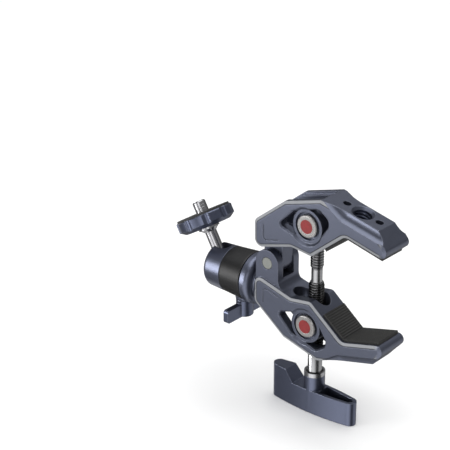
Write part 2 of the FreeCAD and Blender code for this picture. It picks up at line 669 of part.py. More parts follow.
def make_tee_handle():
    """Handle bar with a horn at the rear, a pocket in front and the hub."""
    body = new_body("tee_handle", SCREW_AXIS)
    straight = "(bar_half - bar_end)"
    plan = [
        (f"-{straight}", "-bar_end"),
        ("0", "-hub_radius"),
        (straight, "-bar_end"),
        (straight, "bar_end"),
        ("0", "hub_radius"),
        (f"-{straight}", "bar_end"),
    ]
    bar = body.newObject("PartDesign::Pad", "bar")
    profile = sketch(body, "bar_sketch", plan, "XY_Plane")
    bar.Profile = profile
    bind(profile, "AttachmentOffset.Base.z", "-bar_low")
    bind(bar, "Length", "bar_low - horn_top")
    doc.recompute()
    for end, x in (("rear", f"-{straight}"), ("front", straight)):
        solid(body, "AdditiveCylinder", f"{end}_end", (x, "0", "-bar_low"),
              Radius="bar_end", Height="bar_low - horn_top")
    cut = [
        ("-horn_flat", "-horn_top"),
        ("-horn_foot", "-bar_top"),
        ("2 * bar_half", "-bar_top"),
        ("2 * bar_half", "0"),
        ("-horn_flat", "0"),
    ]
    across(body, "Pocket", "horn", cut, "4 * hub_radius")
    solid(body, "AdditiveCylinder", "hub", ("0", "0", "-bar_low"),
          Radius="hub_radius", Height="bar_low - collar_top - collar_thick")
    taper = f"((hub_radius - bar_end) / {straight})"
    pocket = [
        ("hub_radius", f"-(hub_radius * (1 - {taper}) - bar_wall)"),
        (straight, "-(bar_end - bar_wall)"),
        (f"{straight} + bar_end - bar_wall", "0"),
        (straight, "bar_end - bar_wall"),
        ("hub_radius", f"hub_radius * (1 - {taper}) - bar_wall"),
    ]
    hollow = body.newObject("PartDesign::Pocket", "pocket")
    profile = sketch(body, "pocket_sketch", pocket, "XY_Plane")
    hollow.Profile = profile
    bind(profile, "AttachmentOffset.Base.z", "-bar_top")
    bind(hollow, "Length", "bar_pocket")
    doc.recompute()
    solid(body, "SubtractiveCylinder", "screw_bore", ("0", "0", "-screw_low"),
          Radius="shank_radius", Height="screw_low")
    solid(body, "SubtractiveCylinder", "cap_screw_hole", ("0", "0", "-bar_low"),
          Radius="cap_screw_radius", Height="bar_low - screw_low")
    solid(body, "SubtractiveCylinder", "cap_screw_sink", ("0", "0", "-bar_low"),
          Radius="cap_screw_head", Height="cap_screw_sink")


def make_handle_screw():
    """Screw under the handle that holds it on the lead screw."""
    body = new_body("handle_screw", SCREW_AXIS)
    solid(body, "AdditiveCylinder", "shank", ("0", "0", "-bar_low"),
          Radius="cap_screw_radius", Height="bar_low - screw_low + cap_screw_length")
    solid(body, "AdditiveCylinder", "head", ("0", "0", "-bar_low"),
          Radius="cap_screw_head", Height="cap_screw_sink")
    solid(body, "SubtractiveCylinder", "drive", ("0", "0", "-bar_low"),
          Radius="cap_screw_radius", Height="cap_screw_sink / 2")


# Ball head pieces are drawn about the head's axis: x as for the jaws, r up.

HEAD_AXIS = ("-grip_reach", "0", "-head_drop")
FLANGE = "(rear_face + base_length)"


def make_head_base():
    """Round shouldered disc on the jaw's rear plane, with a neck and the pivot spigot."""
    body = new_body("head_base", HEAD_AXIS)
    end = f"({FLANGE} + spigot_length)"
    outline = [
        ("-rear_face", "bolt_radius"),
        ("-rear_face", "base_foot"),
        ("-rear_face - base_neck", "base_foot"),
        ("-rear_face - base_neck", "flange_radius"),
        (f"-{FLANGE}", "flange_radius"),
        (f"-{FLANGE}", "spigot_radius"),
        ("-wing_x + spigot_groove", "spigot_radius"),
        ("-wing_x", "spigot_radius - spigot_groove"),
        ("-wing_x - spigot_groove", "spigot_radius"),
        (f"-{end}", "spigot_radius"),
        (f"-{end}", "bolt_head"),
        (f"-{end} + bolt_sink", "bolt_head"),
        (f"-{end} + bolt_sink", "bolt_radius"),
    ]
    turned(body, "Revolution", "turned", outline, "H_Axis")
    for kind, name, x, size in (
        ("Fillet", "shoulder", "-rear_face - base_neck", {"Radius": "base_round"}),
        ("Chamfer", "disc_bevel", f"-{FLANGE}", {"Size": "flange_edge"}),
    ):
        shape = body.Tip.Shape
        names = rims(shape, V(), V(1, 0, 0), number("flange_radius"))
        names = [n for n in names if abs(shape.getElement(n).Curve.Center.x - number(x)) < 1e-3]
        dress(body, kind, name, names, **size)


def make_head_bolt():
    """Socket bolt through the base into the lower jaw."""
    body = new_body("head_bolt", HEAD_AXIS)
    seat = f"({FLANGE} + spigot_length - bolt_sink)"
    solid(body, "AdditiveCylinder", "head", (f"-{seat} - bolt_head_high", "0", "0"), ALONG_X,
          Radius="bolt_head", Height="bolt_head_high")
    solid(body, "AdditiveCylinder", "shank", (f"-{seat}", "0", "0"), ALONG_X,
          Radius="bolt_radius", Height=f"{seat} - rear_face + bolt_reach")
    solid(body, "SubtractiveCylinder", "socket", (f"-{seat} - bolt_head_high", "0", "0"), ALONG_X,
          Radius="bolt_head / 2", Height="bolt_head_high / 2")


def make_ball_housing():
    """Cup that holds the ball, with the stem's notch and the wing screw's boss."""
    body = new_body("ball_housing", HEAD_AXIS)
    near = f"({FLANGE} + pan_gap)"
    outline = [
        (f"-{near}", "0"),
        (f"-{near}", "sleeve_seat"),
        ("-sleeve_front", "sleeve_seat"),
        ("-sleeve_front", "cup_root"),
        ("-cup_end + cup_round", "cup_radius"),
        ("-cup_end", "cup_radius"),
        ("-cup_end", "0"),
    ]
    turned(body, "Revolution", "cup", outline, "H_Axis")
    names = rims(body.Tip.Shape, V(number("-cup_end"), 0, 0), V(1, 0, 0), number("cup_radius"))
    mouth = [n for n in names if body.Tip.Shape.getElement(n).BoundBox.XMax < number("-cup_end") + 1e-3]
    dress(body, "Fillet", "mouth", mouth, Radius="cup_round - 0.05")
    solid(body, "AdditiveCylinder", "boss", ("-wing_x", "0", "-wing_boss_low"),
          Radius="wing_boss", Height="wing_boss_low")
    solid(body, "SubtractiveCylinder", "spigot_bore", (f"-{near} - spigot_length", "0", "0"), ALONG_X,
          Radius="spigot_radius + pan_play", Height=f"spigot_length + pan_gap")
    solid(body, "SubtractiveCylinder", "ball_bore", ("-ball_x", "0", "0"), ALONG_X,
          Radius="ball_radius + ball_play", Height=f"ball_x - {near} - spigot_length")
    solid(body, "SubtractiveSphere", "ball_hollow", ("-ball_x", "0", "0"),
          Radius="ball_radius + ball_play")
    solid(body, "SubtractiveBox", "notch", ("-2 * cup_end + ball_x", "-notch_half", "0"),
          Length="2 * cup_end - 2 * ball_x", Width="2 * notch_half", Height="2 * cup_root")
    solid(body, "SubtractiveCylinder", "notch_end", ("-ball_x", "0", "0"),
          Radius="notch_half", Height="2 * cup_root")
    solid(body, "SubtractiveCylinder", "wing_thread", ("-wing_x", "0", "-wing_boss_low"),
          Radius="wing_thread + wing_play", Height="wing_boss_low - spigot_radius / 2")


def make_grip_sleeve():
    """Black textured sleeve round the housing, notched for the boss."""
    body = new_body("grip_sleeve", HEAD_AXIS)
    near = f"({FLANGE} + pan_gap)"
    outline = [
        (f"-{near}", "sleeve_seat"),
        (f"-{near}", "sleeve_radius"),
        ("-sleeve_front", "cup_root"),
        ("-sleeve_front", "sleeve_seat"),
    ]
    turned(body, "Revolution", "sleeve", outline, "H_Axis")
    solid(body, "SubtractiveCylinder", "boss_hole", ("-wing_x", "0", "-wing_boss_low"),
          Radius="wing_boss", Height="wing_boss_low")


def make_ball_seat():
    """Friction seat that bears on the back of the ball."""
    body = new_body("ball_seat", HEAD_AXIS)
    back = f"({FLANGE} + spigot_length + 3 * pan_gap)"
    solid(body, "AdditiveCylinder", "ring", (f"-{back} - seat_length", "0", "0"), ALONG_X,
          Radius="seat_radius", Height="seat_length")
    solid(body, "SubtractiveSphere", "hollow", ("-ball_x", "0", "0"),
          Radius="ball_radius + ball_play / 2")
    solid(body, "SubtractiveCylinder", "bore", (f"-{back} - seat_length", "0", "0"), ALONG_X,
          Radius="seat_bore", Height="seat_length")


def make_wing_screw():
    """Clamping screw of the ball head: steel stud and winged knob."""
    at = ("-wing_x - grip_reach", "0", "-head_drop")
    stud = new_body("wing_stud", at)
    tip = "(spigot_radius - spigot_groove + wing_tip_gap)"
    low = "(wing_boss_low + wing_hub_gap + wing_hub_high - wing_thick / 2)"
    outline = [
        ("0", f"-{tip}"),
        ("wing_tip", f"-{tip}"),
        ("wing_thread", f"-{tip} - (wing_thread - wing_tip)"),
        ("wing_thread", f"-{low}"),
        ("0", f"-{low}"),
    ]
    turned(stud, "Revolution", "turned", outline, "V_Axis")
    knob = new_body("wing_knob", at)
    top = "(wing_boss_low + wing_hub_gap)"
    solid(knob, "AdditiveCylinder", "hub", ("0", "0", f"-{top} - wing_hub_high"),
          Radius="wing_hub", Height="wing_hub_high")
    names = rims(knob.Tip.Shape, V(), V(0, 0, 1), number("wing_hub"))
    dress(knob, "Chamfer", "hub_bevels", names, Size="wing_hub_edge")
    solid(knob, "AdditiveBox", "wings", ("-wing_thick / 2", "-wing_half", f"-{top} - wing_hub_high"),
          Length="wing_thick", Width="2 * wing_half", Height="wing_high")
    shape = knob.Tip.Shape
    tips = [
        f"Edge{index}"
        for index, edge in enumerate(shape.Edges, 1)
        if edge.BoundBox.YLength + edge.BoundBox.ZLength < 1e-3
        and abs(abs(edge.CenterOfMass.y) - number("wing_half")) < 1e-3
    ]
    dress(knob, "Fillet", "tips", tips, Radius="wing_round")
    solid(knob, "SubtractiveCylinder", "stud_bore", ("0", "0", f"-{low}"),
          Radius="wing_thread", Height=low)


# Pieces on the ball are drawn about the ball's centre, z along the stem.

BALL_CENTRE = ("-ball_x - grip_reach", "0", "-head_drop")


def make_ball_stem():
    """Ball, stem, flange and camera stud in one turned piece."""
    body = new_body("ball_stem", BALL_CENTRE, "-stem_tilt")
    root = "ball_radius / 2"
    top = "(stem_top + wheel_gap + wheel_thick + top_rubber_thick)"
    outline = [
        ("0", root),
        ("stem_radius", root),
        ("stem_radius", "stem_top - flare_thick - flare_cone"),
        ("flare_radius - screw_bevel", "stem_top - flare_thick"),
        ("flare_radius", "stem_top - flare_thick"),
        ("flare_radius", "stem_top"),
        ("journal_radius", "stem_top"),
        ("journal_radius", top),
        ("stud_radius", top),
        ("stud_radius", f"{top} + stud_length - screw_bevel"),
        ("stud_radius - screw_bevel", f"{top} + stud_length"),
        ("0", f"{top} + stud_length"),
    ]
    turned(body, "Revolution", "stem", outline, "V_Axis")
    solid(body, "AdditiveSphere", "ball", ("0", "0", "0"), Radius="ball_radius")


def make_thumbwheel():
    """Fluted wheel on the stud and the rubber disc on top of it."""
    base = "stem_top + wheel_gap"
    wheel = new_body("thumbwheel", BALL_CENTRE, "-stem_tilt")
    outline = [
        ("journal_radius + wheel_play", base),
        ("wheel_radius - wheel_bevel_run", base),
        ("wheel_radius", f"{base} + wheel_bevel"),
        ("wheel_radius", f"{base} + wheel_thick - wheel_edge"),
        ("wheel_radius - wheel_edge", f"{base} + wheel_thick"),
        ("journal_radius + wheel_play", f"{base} + wheel_thick"),
    ]
    turned(wheel, "Revolution", "disc", outline, "V_Axis")
    out = "(wheel_radius + flute_radius - flute_bite)"
    flute = solid(wheel, "SubtractiveCylinder", "flute",
                  (f"{out} * cos(flute_turn)", f"-{out} * sin(flute_turn)", base),
                  Radius="flute_radius", Height="wheel_thick")
    ring = wheel.newObject("PartDesign::PolarPattern", "flutes")
    ring.Originals = [flute]
    ring.Axis = (wheel.Origin.OriginFeatures[2], [""])
    ring.Angle = 360
    bind(ring, "Occurrences", "flute_count")
    wheel.Tip = ring
    doc.recompute()
    disc = new_body("wheel_rubber", BALL_CENTRE, "-stem_tilt")
    outline = [
        ("top_rubber_bore", f"{base} + wheel_thick"),
        ("top_rubber_radius", f"{base} + wheel_thick"),
        ("top_rubber_radius", f"{base} + wheel_thick + top_rubber_thick"),
        ("top_rubber_bore", f"{base} + wheel_thick + top_rubber_thick"),
    ]
    turned(disc, "Revolution", "disc", outline, "V_Axis")


def export_parts():
    """Check every object, then write each sub-part's file."""
    doc.recompute()
    for item in doc.Objects:
        if "Invalid" in item.State or "Error" in item.State:
            raise RuntimeError(f"{item.Name} {item.Label}: {item.State}")
    kinds = ("PartDesign::Body", "Part::Compound")
    parts = [item for item in doc.Objects if item.TypeId in kinds]
    for item in parts:
        if item.Shape.isNull() or not item.Shape.isValid() or not item.Shape.Solids:
            raise RuntimeError(f"{item.Label}: bad shape")
    os.makedirs("parts", exist_ok=True)
    for item in parts:
        item.Shape.exportStep(f"parts/{item.Label}.step")
        print(item.Label, len(item.Shape.Solids), round(item.Shape.Volume, 1))


make_lower_jaw()
make_upper_jaw()
make_pads()
make_nuts()
make_hinge_pin()
make_lead_screw()
make_hub_collar()
make_tee_handle()
make_handle_screw()
make_head_base()
make_head_bolt()
make_ball_housing()
make_grip_sleeve()
make_ball_seat()
make_wing_screw()
make_ball_stem()
make_thumbwheel()
export_parts()
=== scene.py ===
"""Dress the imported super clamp: castings, screw threads, knurl, finishes, studio and camera.

Lengths are metres in the part's own frame, whose origin is the middle of the gripped rod.
The hinge pin lies at HINGE, and the pieces are described from the pin.
"""

from __future__ import annotations

import logging
import math
from dataclasses import dataclass
from enum import Enum
from typing import Callable

import bmesh
import bpy
from mathutils import Matrix, Vector

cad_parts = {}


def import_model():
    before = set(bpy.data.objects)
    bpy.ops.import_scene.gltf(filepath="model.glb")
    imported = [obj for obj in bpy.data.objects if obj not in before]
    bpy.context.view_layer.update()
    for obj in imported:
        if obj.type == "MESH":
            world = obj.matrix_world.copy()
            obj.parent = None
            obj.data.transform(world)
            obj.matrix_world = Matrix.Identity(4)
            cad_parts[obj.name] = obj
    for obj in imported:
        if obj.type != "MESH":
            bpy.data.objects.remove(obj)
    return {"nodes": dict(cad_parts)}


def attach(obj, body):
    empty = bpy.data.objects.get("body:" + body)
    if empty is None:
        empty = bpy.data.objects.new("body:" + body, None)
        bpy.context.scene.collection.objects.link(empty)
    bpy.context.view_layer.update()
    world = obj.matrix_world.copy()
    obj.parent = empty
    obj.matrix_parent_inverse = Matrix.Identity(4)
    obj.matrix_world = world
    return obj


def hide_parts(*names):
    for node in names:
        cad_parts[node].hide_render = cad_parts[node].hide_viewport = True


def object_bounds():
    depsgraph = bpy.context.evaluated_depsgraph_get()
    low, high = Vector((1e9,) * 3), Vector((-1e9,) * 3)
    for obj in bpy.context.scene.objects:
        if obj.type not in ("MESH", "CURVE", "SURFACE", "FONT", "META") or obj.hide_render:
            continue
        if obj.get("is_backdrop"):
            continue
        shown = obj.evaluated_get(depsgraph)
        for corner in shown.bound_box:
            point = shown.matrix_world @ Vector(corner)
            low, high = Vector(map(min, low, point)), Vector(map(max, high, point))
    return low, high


log = logging.getLogger("clamp")

MM = 0.001
HINGE = Vector((-43.0 * MM, 0.0, 0.0))
WELD = 0.001 * MM

# The numbers of a colour Mix node's sockets.
MIX_FACTOR, MIX_FIRST, MIX_SECOND, MIX_RESULT = 0, 6, 7, 2

# Edges that turn by more than these degrees stay sharp.
TURNED_SHARP = 35.0
HANDLE_SHARP = 24.0
SLEEVE_SHARP = 50.0

# A thread's wave, from 0 to 1, is made steeper and cut off at both ends, which leaves flat crests and
# flat roots. A diamond's wave is cut off at its top alone.
THREAD_STEEPNESS = 1.7
THREAD_SHIFT = -0.25
DIAMOND_STEEPNESS = 1.5


@dataclass(frozen=True)
class ScrewSizes:
    """The double ended lead screw, measured from the hinge pin's height."""

    axis_x: float = 22.3 * MM
    pitch: float = 1.25 * MM
    thread_depth: float = 0.62 * MM
    upper_radius: float = 3.0 * MM
    lower_radius: float = 3.55 * MM
    neck_radius: float = 2.5 * MM
    shank_radius: float = 3.3 * MM
    top: float = 31.0 * MM
    neck_top: float = 1.7 * MM
    neck_low: float = -4.6 * MM
    thread_low: float = -38.5 * MM
    low: float = -66.0 * MM
    shank_bevel: float = 0.6 * MM
    core_bevel: float = 0.1 * MM


@dataclass(frozen=True)
class HeadSizes:
    """The ball head, whose axis runs backwards below the hinge pin."""

    drop: float = 13.1 * MM
    sleeve_back: float = 13.6 * MM
    sleeve_front: float = 26.1 * MM
    sleeve_wide: float = 11.9 * MM
    sleeve_narrow: float = 11.0 * MM
    sleeve_seat: float = 9.6 * MM
    knurl_depth: float = 0.22 * MM
    diamonds_around: int = 78
    diamond_height: float = 0.95 * MM
    smooth_rim: float = 0.5 * MM
    boss_x: float = 19.3 * MM
    boss_hole: float = 4.15 * MM
    ball_x: float = 31.4 * MM
    stem_lean: float = math.radians(30.0)
    stud_radius: float = 3.195 * MM
    stud_start: float = 27.5 * MM
    stud_end: float = 32.8 * MM
    stud_pitch: float = 1.27 * MM
    stud_thread_depth: float = 0.5 * MM


@dataclass(frozen=True)
class ArmSizes:
    """The accessory hole on the upper arm, with the slope that it stands square to."""

    hole_x: float = 45.7 * MM
    ridge_x: float = 29.6 * MM
    ridge_z: float = 38.2 * MM
    slope: float = math.radians(14.2)
    wall: float = 4.05 * MM
    pitch: float = 1.5875 * MM
    thread_depth: float = 0.45 * MM
    lead_in: float = 0.9 * MM
    depth: float = 7.0 * MM


@dataclass(frozen=True)
class BarSizes:
    """The tee handle's bar, from the lead screw's axis and the hinge pin's height."""

    top: float = -57.8 * MM
    straight: float = 20.0 * MM
    end_half: float = 3.0 * MM
    middle_half: float = 4.8 * MM
    slice: float = 1.0 * MM
    hub_top: float = -51.0 * MM
    hub_margin: float = 0.1 * MM
    clearance: float = 0.02 * MM


@dataclass(frozen=True)
class BandSizes:
    """The matt silver band on the jaws' wide bevels.

    inner, line and outer are distances from the middle plane, and the band fades out along x before
    the tip. From line out to outer the band carries a dark line of painted shade, standing in for a
    small step next to the side face. A face belongs to a bevel when the y part of its normal lies
    between the two leans.
    """

    inner: float = 8.25 * MM
    line: float = 8.74 * MM
    outer: float = 8.95 * MM
    fade_start: float = 16.5 * MM
    fade_end: float = 18.5 * MM
    least_lean: float = 0.90
    most_lean: float = 0.97
    metallic: float = 0.15
    more_roughness: float = 0.25


@dataclass(frozen=True)
class ViewSizes:
    """The photograph's camera, from the hinge pin."""

    azimuth: float = math.radians(41.163)
    elevation: float = math.radians(22.949)
    roll: float = math.radians(-0.413)
    distance: float = 577.236 * MM
    aside: float = 23.617 * MM
    above: float = -14.846 * MM
    focal_pixels: float = 1282.8
    image_pixels: float = 450.0
    sensor_mm: float = 36.0
    reach: float = 20.0


@dataclass(frozen=True)
class SoftBox:
    """One soft box: where it hangs, how wide and high it is, and its watts."""

    name: str
    place: tuple[float, float, float]
    size: tuple[float, float]
    power: float


@dataclass(frozen=True)
class SetSizes:
    """The studio set. Bands pair a place on a 0 to 1 scale with a grey brightness.

    floor_bands run once round the object from behind it, by its left, its front and its right, as the
    camera sees them. sky_bands run from straight down to straight up.
    """

    floor_reach: float = 1.0
    floor_gap: float = 0.2 * MM
    paper: str = "f7f7f7"
    paper_roughness: float = 0.9
    aim: tuple[float, float, float] = (-30.0 * MM, 0.0, -15.0 * MM)
    boxes: tuple[SoftBox, ...] = (
        SoftBox("top", (0.0, 0.1, 1.9), (2.6, 2.6), 54.0),
        SoftBox("key", (-0.66, -0.80, 0.0), (0.5, 0.5), 8.5),
        SoftBox("fill", (0.5, -1.1, 0.35), (0.5, 0.5), 2.0),
    )
    ambient: float = 0.32
    backdrop: float = 1.0
    glow: float = 2.0
    horizon: float = 0.08
    floor_bands: tuple[tuple[float, float], ...] = (
        (0.04, 0.08), (0.075, 0.60), (0.115, 0.60), (0.15, 0.08), (0.25, 0.10), (0.285, 0.28),
        (0.32, 0.90), (0.43, 1.0), (0.515, 0.50), (0.54, 0.04), (0.64, 0.04), (0.67, 0.42),
        (0.83, 0.40), (0.92, 0.08),
    )
    sky_bands: tuple[tuple[float, float], ...] = (
        (0.0, 0.03), (0.52, 0.03), (0.62, 0.08), (0.67, 0.20), (0.76, 0.18), (0.80, 0.08), (0.86, 0.03),
        (0.93, 0.04), (0.98, 0.40),
    )


class Hand(Enum):
    """Which way a thread winds."""

    LEFT = -1
    RIGHT = 1


def srgb(code: str) -> tuple[float, float, float, float]:
    """Turn a hex colour into linear red, green, blue and alpha.

    Args:
        code: Six hex digits, as seen on screen.

    Returns:
        The linear colour with full alpha.
    """
    parts = [int(code[i : i + 2], 16) / 255 for i in (0, 2, 4)]
    linear = [p / 12.92 if p <= 0.04045 else ((p + 0.055) / 1.055) ** 2.4 for p in parts]
    return (*linear, 1.0)


def grey(brightness: float) -> tuple[float, float, float, float]:
    """Return a linear grey with full alpha."""
    return (brightness, brightness, brightness, 1.0)


class Graph:
    """Adds and wires nodes in one shader or geometry tree."""

    def __init__(self, tree: bpy.types.NodeTree) -> None:
        """Keep the tree that the nodes go into."""
        self.tree = tree

    def add(self, kind: str, inputs: dict | None = None, **settings: object) -> bpy.types.Node:
        """Add a node, set its properties and feed its sockets.

        Args:
            kind: The node's type name.
            inputs: Socket names or numbers, each with what feed takes.
            **settings: Properties of the node itself.

        Returns:
            The new node.
        """
        node = self.tree.nodes.new(kind)
        for key, value in settings.items():
            setattr(node, key, value)
        for key, value in (inputs or {}).items():
            self.feed(node.inputs[key], value)
        return node

    def feed(self, socket: bpy.types.NodeSocket, value: object) -> None:
        """Link a socket, or set its plain value.

        Args:
            socket: The input to feed.
            value: Another socket, a node whose first output is meant, or a plain value.
        """
        if isinstance(value, bpy.types.Node):
            value = value.outputs[0]
        if isinstance(value, bpy.types.NodeSocket):
            self.tree.links.new(value, socket)
        else:
            socket.default_value = value


@dataclass(frozen=True)
class Finish:
    """One surface finish. Lengths are metres and colours are sRGB hex codes.

    mottle varies the colour in wide patches and grain the roughness and relief in fine ones. edge_colour
    paints the matt band on the jaws' wide bevels, and step_shade_colour paints a dark line of shade along its
    edge next to the side face, where a small step would be. rib_spacing moulds ribs across the jaw, whose
    height is rib_share of it. edge_round softens edges, wear lightens them towards bare metal, partly as
    wear and partly as a painted highlight, and painted_groove_shade paints shade into the roots of threads
    and knurls. On a turned finish the grain runs in rings about the z axis.
    """

    name: str
    colour: str
    metallic: float
    roughness: float
    mottle: float = 0.06
    mottle_size: float = 3.0 * MM
    mottle_detail: float = 3.0
    grain: float = 0.25
    grain_size: float = 0.35 * MM
    grain_detail: float = 2.0
    grain_depth: float = 0.02 * MM
    grain_spread: float = 0.15
    coat: float = 0.0
    coat_roughness: float = 0.3
    turned: bool = False
    edge_colour: str = ""
    # Painted shade: a dark line standing in for a small step beside the band.
    step_shade_colour: str = ""
    band: BandSizes = BandSizes()
    rib_spacing: float = 0.0
    rib_strength: float = 0.8
    rib_share: float = 0.25
    edge_samples: int = 4
    edge_round: float = 0.0
    # Edge lightening: partly rubbed wear, partly a painted highlight.
    wear_and_highlight: float = 0.0
    edge_lighten_from: float = 0.985
    edge_lighten_to: float = 0.88
    bare_metal_and_highlight: str = "c4c6cc"
    # Painted shade in the roots of threads and knurls.
    painted_groove_shade: float = 0.0
    groove_from: float = 0.45
    groove_to: float = 0.9

    def build(self) -> bpy.types.Material:
        """Make the material with its colour, roughness and relief nodes.

        Returns:
            The finished material.
        """
        material = bpy.data.materials.new(self.name)
        material.use_nodes = True
        graph = Graph(material.node_tree)
        shader = material.node_tree.nodes["Principled BSDF"]
        place = graph.add("ShaderNodeTexCoord")
        fine = graph.add("ShaderNodeTexNoise", {"Vector": self._grain_place(graph, place),
                                                "Scale": 1 / self.grain_size, "Detail": self.grain_detail})
        rounded = None
        if self.edge_round:
            rounded = graph.add("ShaderNodeBevel", {"Radius": self.edge_round}, samples=self.edge_samples)
        smoothest = self.roughness * (1 - self.grain_spread)
        roughest = self.roughness * (1 + self.grain_spread)
        rough = graph.add("ShaderNodeMapRange", {"Value": fine, "To Min": smoothest, "To Max": roughest})
        metallic = self.metallic
        if self.edge_colour:
            b = self.band
            band = self._on_band(graph, place, b.inner)
            metallic = graph.add("ShaderNodeMath", {0: band, 1: b.metallic - self.metallic, 2: self.metallic},
                                 operation="MULTIPLY_ADD")
            rough = graph.add("ShaderNodeMath", {0: band, 1: b.more_roughness, 2: rough},
                              operation="MULTIPLY_ADD")
        graph.feed(shader.inputs["Base Color"], self._coloured(graph, place, rounded))
        graph.feed(shader.inputs["Metallic"], metallic)
        graph.feed(shader.inputs["Roughness"], rough)
        graph.feed(shader.inputs["Normal"], self._relief(graph, place, fine, rounded))
        if self.coat:
            graph.feed(shader.inputs["Coat Weight"], self.coat)
            graph.feed(shader.inputs["Coat Roughness"], self.coat_roughness)
        return material

    def _grain_place(self, graph: Graph, place: bpy.types.Node) -> bpy.types.NodeSocket | bpy.types.Node:
        """Give coordinates for the grain, drawn out into rings on turned metal.

        Args:
            graph: The material's nodes.
            place: Its coordinates.

        Returns:
            The coordinates that the grain follows.
        """
        if not self.turned:
            return place.outputs["Object"]
        apart = graph.add("ShaderNodeSeparateXYZ", {0: place.outputs["Object"]})
        return graph.add("ShaderNodeCombineXYZ", {"Z": apart.outputs["Z"]})

    def _mottled(self, graph: Graph, place: bpy.types.Node) -> bpy.types.NodeSocket:
        """Vary the finish's colour in wide patches.

        Args:
            graph: The material's nodes.
            place: Its coordinates.

        Returns:
            The varied colour.
        """
        wide = graph.add("ShaderNodeTexNoise", {"Vector": place.outputs["Object"],
                                                "Scale": 1 / self.mottle_size, "Detail": self.mottle_detail})
        base = Vector(srgb(self.colour)[:3])
        both = graph.add("ShaderNodeMix", {MIX_FACTOR: wide, MIX_FIRST: (*(base * (1 - self.mottle)), 1.0),
                                           MIX_SECOND: (*(base * (1 + self.mottle)), 1.0)}, data_type="RGBA")
        return both.outputs[MIX_RESULT]

    def _coloured(self, graph: Graph, place: bpy.types.Node,
                  rounded: bpy.types.Node | None) -> bpy.types.NodeSocket:
        """Lay the finish's band, its painted step shade and its edge wear with painted highlight over its
        mottled colour with painted groove shade.

        Args:
            graph: The material's nodes.
            place: Its coordinates.
            rounded: The softened edges' normal, where the finish has it.

        Returns:
            The whole colour.
        """
        colour = self._mottled(graph, place)
        # Painted shade in the roots of threads and knurls: deeper roots are darker.
        if self.painted_groove_shade:
            colour = self._shaded(graph, colour)
        coats = []
        if self.edge_colour:
            coats.append((self._on_band(graph, place, self.band.inner), self.edge_colour))
            # A dark line of painted shade, standing in for a small step next to the side face.
            coats.append((self._on_band(graph, place, self.band.line), self.step_shade_colour))
        if self.wear_and_highlight:
            # Edges lightened towards bare metal: partly wear, partly a painted highlight.
            coats.append((self._worn_and_highlit(graph, rounded), self.bare_metal_and_highlight))
        for mask, paint in coats:
            both = graph.add("ShaderNodeMix", {MIX_FACTOR: mask, MIX_FIRST: colour, MIX_SECOND: srgb(paint)},
                             data_type="RGBA")
            colour = both.outputs[MIX_RESULT]
        return colour

    def _on_band(self, graph: Graph, place: bpy.types.Node, inner: float) -> bpy.types.Node:
        """Return 1 on the jaws' wide bevels, out from a distance to the middle plane.

        Args:
            graph: The material's nodes.
            place: Its coordinates.
            inner: The distance where the mask starts.

        Returns:
            The node that gives the mask.
        """
        b = self.band
        normal = graph.add("ShaderNodeSeparateXYZ", {0: place.outputs["Normal"]})
        spot = graph.add("ShaderNodeSeparateXYZ", {0: place.outputs["Object"]})
        lean = graph.add("ShaderNodeMath", {0: normal.outputs["Y"]}, operation="ABSOLUTE")
        out = graph.add("ShaderNodeMath", {0: spot.outputs["Y"]}, operation="ABSOLUTE")
        mask = graph.add("ShaderNodeMapRange", {"Value": spot.outputs["X"], "From Min": b.fade_start,
                                                "From Max": b.fade_end, "To Min": 1.0, "To Max": 0.0})
        for value, operation, limit in (
            (lean, "GREATER_THAN", b.least_lean),
            (lean, "LESS_THAN", b.most_lean),
            (out, "GREATER_THAN", inner),
            (out, "LESS_THAN", b.outer),
        ):
            test = graph.add("ShaderNodeMath", {0: value, 1: limit}, operation=operation)
            mask = graph.add("ShaderNodeMath", {0: mask, 1: test}, operation="MULTIPLY")
        return mask

    def _shaded(self, graph: Graph, colour: bpy.types.NodeSocket) -> bpy.types.NodeSocket:
        """Paint shade into the grooves that a relief tube has marked.

        Args:
            graph: The material's nodes.
            colour: The colour outside the grooves.

        Returns:
            The shaded colour.
        """
        depth = graph.add("ShaderNodeAttribute", attribute_name="groove").outputs["Fac"]
        shade = graph.add("ShaderNodeMapRange", {"Value": depth, "From Min": self.groove_from,
                                                 "From Max": self.groove_to, "To Min": 1.0,
                                                 "To Max": 1.0 - self.painted_groove_shade})
        both = graph.add("ShaderNodeMix", {MIX_FACTOR: 1.0, MIX_FIRST: colour, MIX_SECOND: shade},
                         data_type="RGBA", blend_type="MULTIPLY")
        return both.outputs[MIX_RESULT]

    def _worn_and_highlit(self, graph: Graph, rounded: bpy.types.Node) -> bpy.types.Node:
        """Find where an edge turns, to lighten it towards bare metal: partly rubbed wear, partly a painted
        highlight.

        Args:
            graph: The material's nodes.
            rounded: The softened edges' normal.

        Returns:
            The node that gives how far the edge is lightened, from 0 to wear.
        """
        flat = graph.add("ShaderNodeNewGeometry").outputs["Normal"]
        match = graph.add("ShaderNodeVectorMath", {0: rounded, 1: flat}, operation="DOT_PRODUCT")
        return graph.add("ShaderNodeMapRange", {"Value": match.outputs["Value"], "From Min": self.edge_lighten_from,
                                                "From Max": self.edge_lighten_to, "To Min": 0.0, "To Max": self.wear_and_highlight})

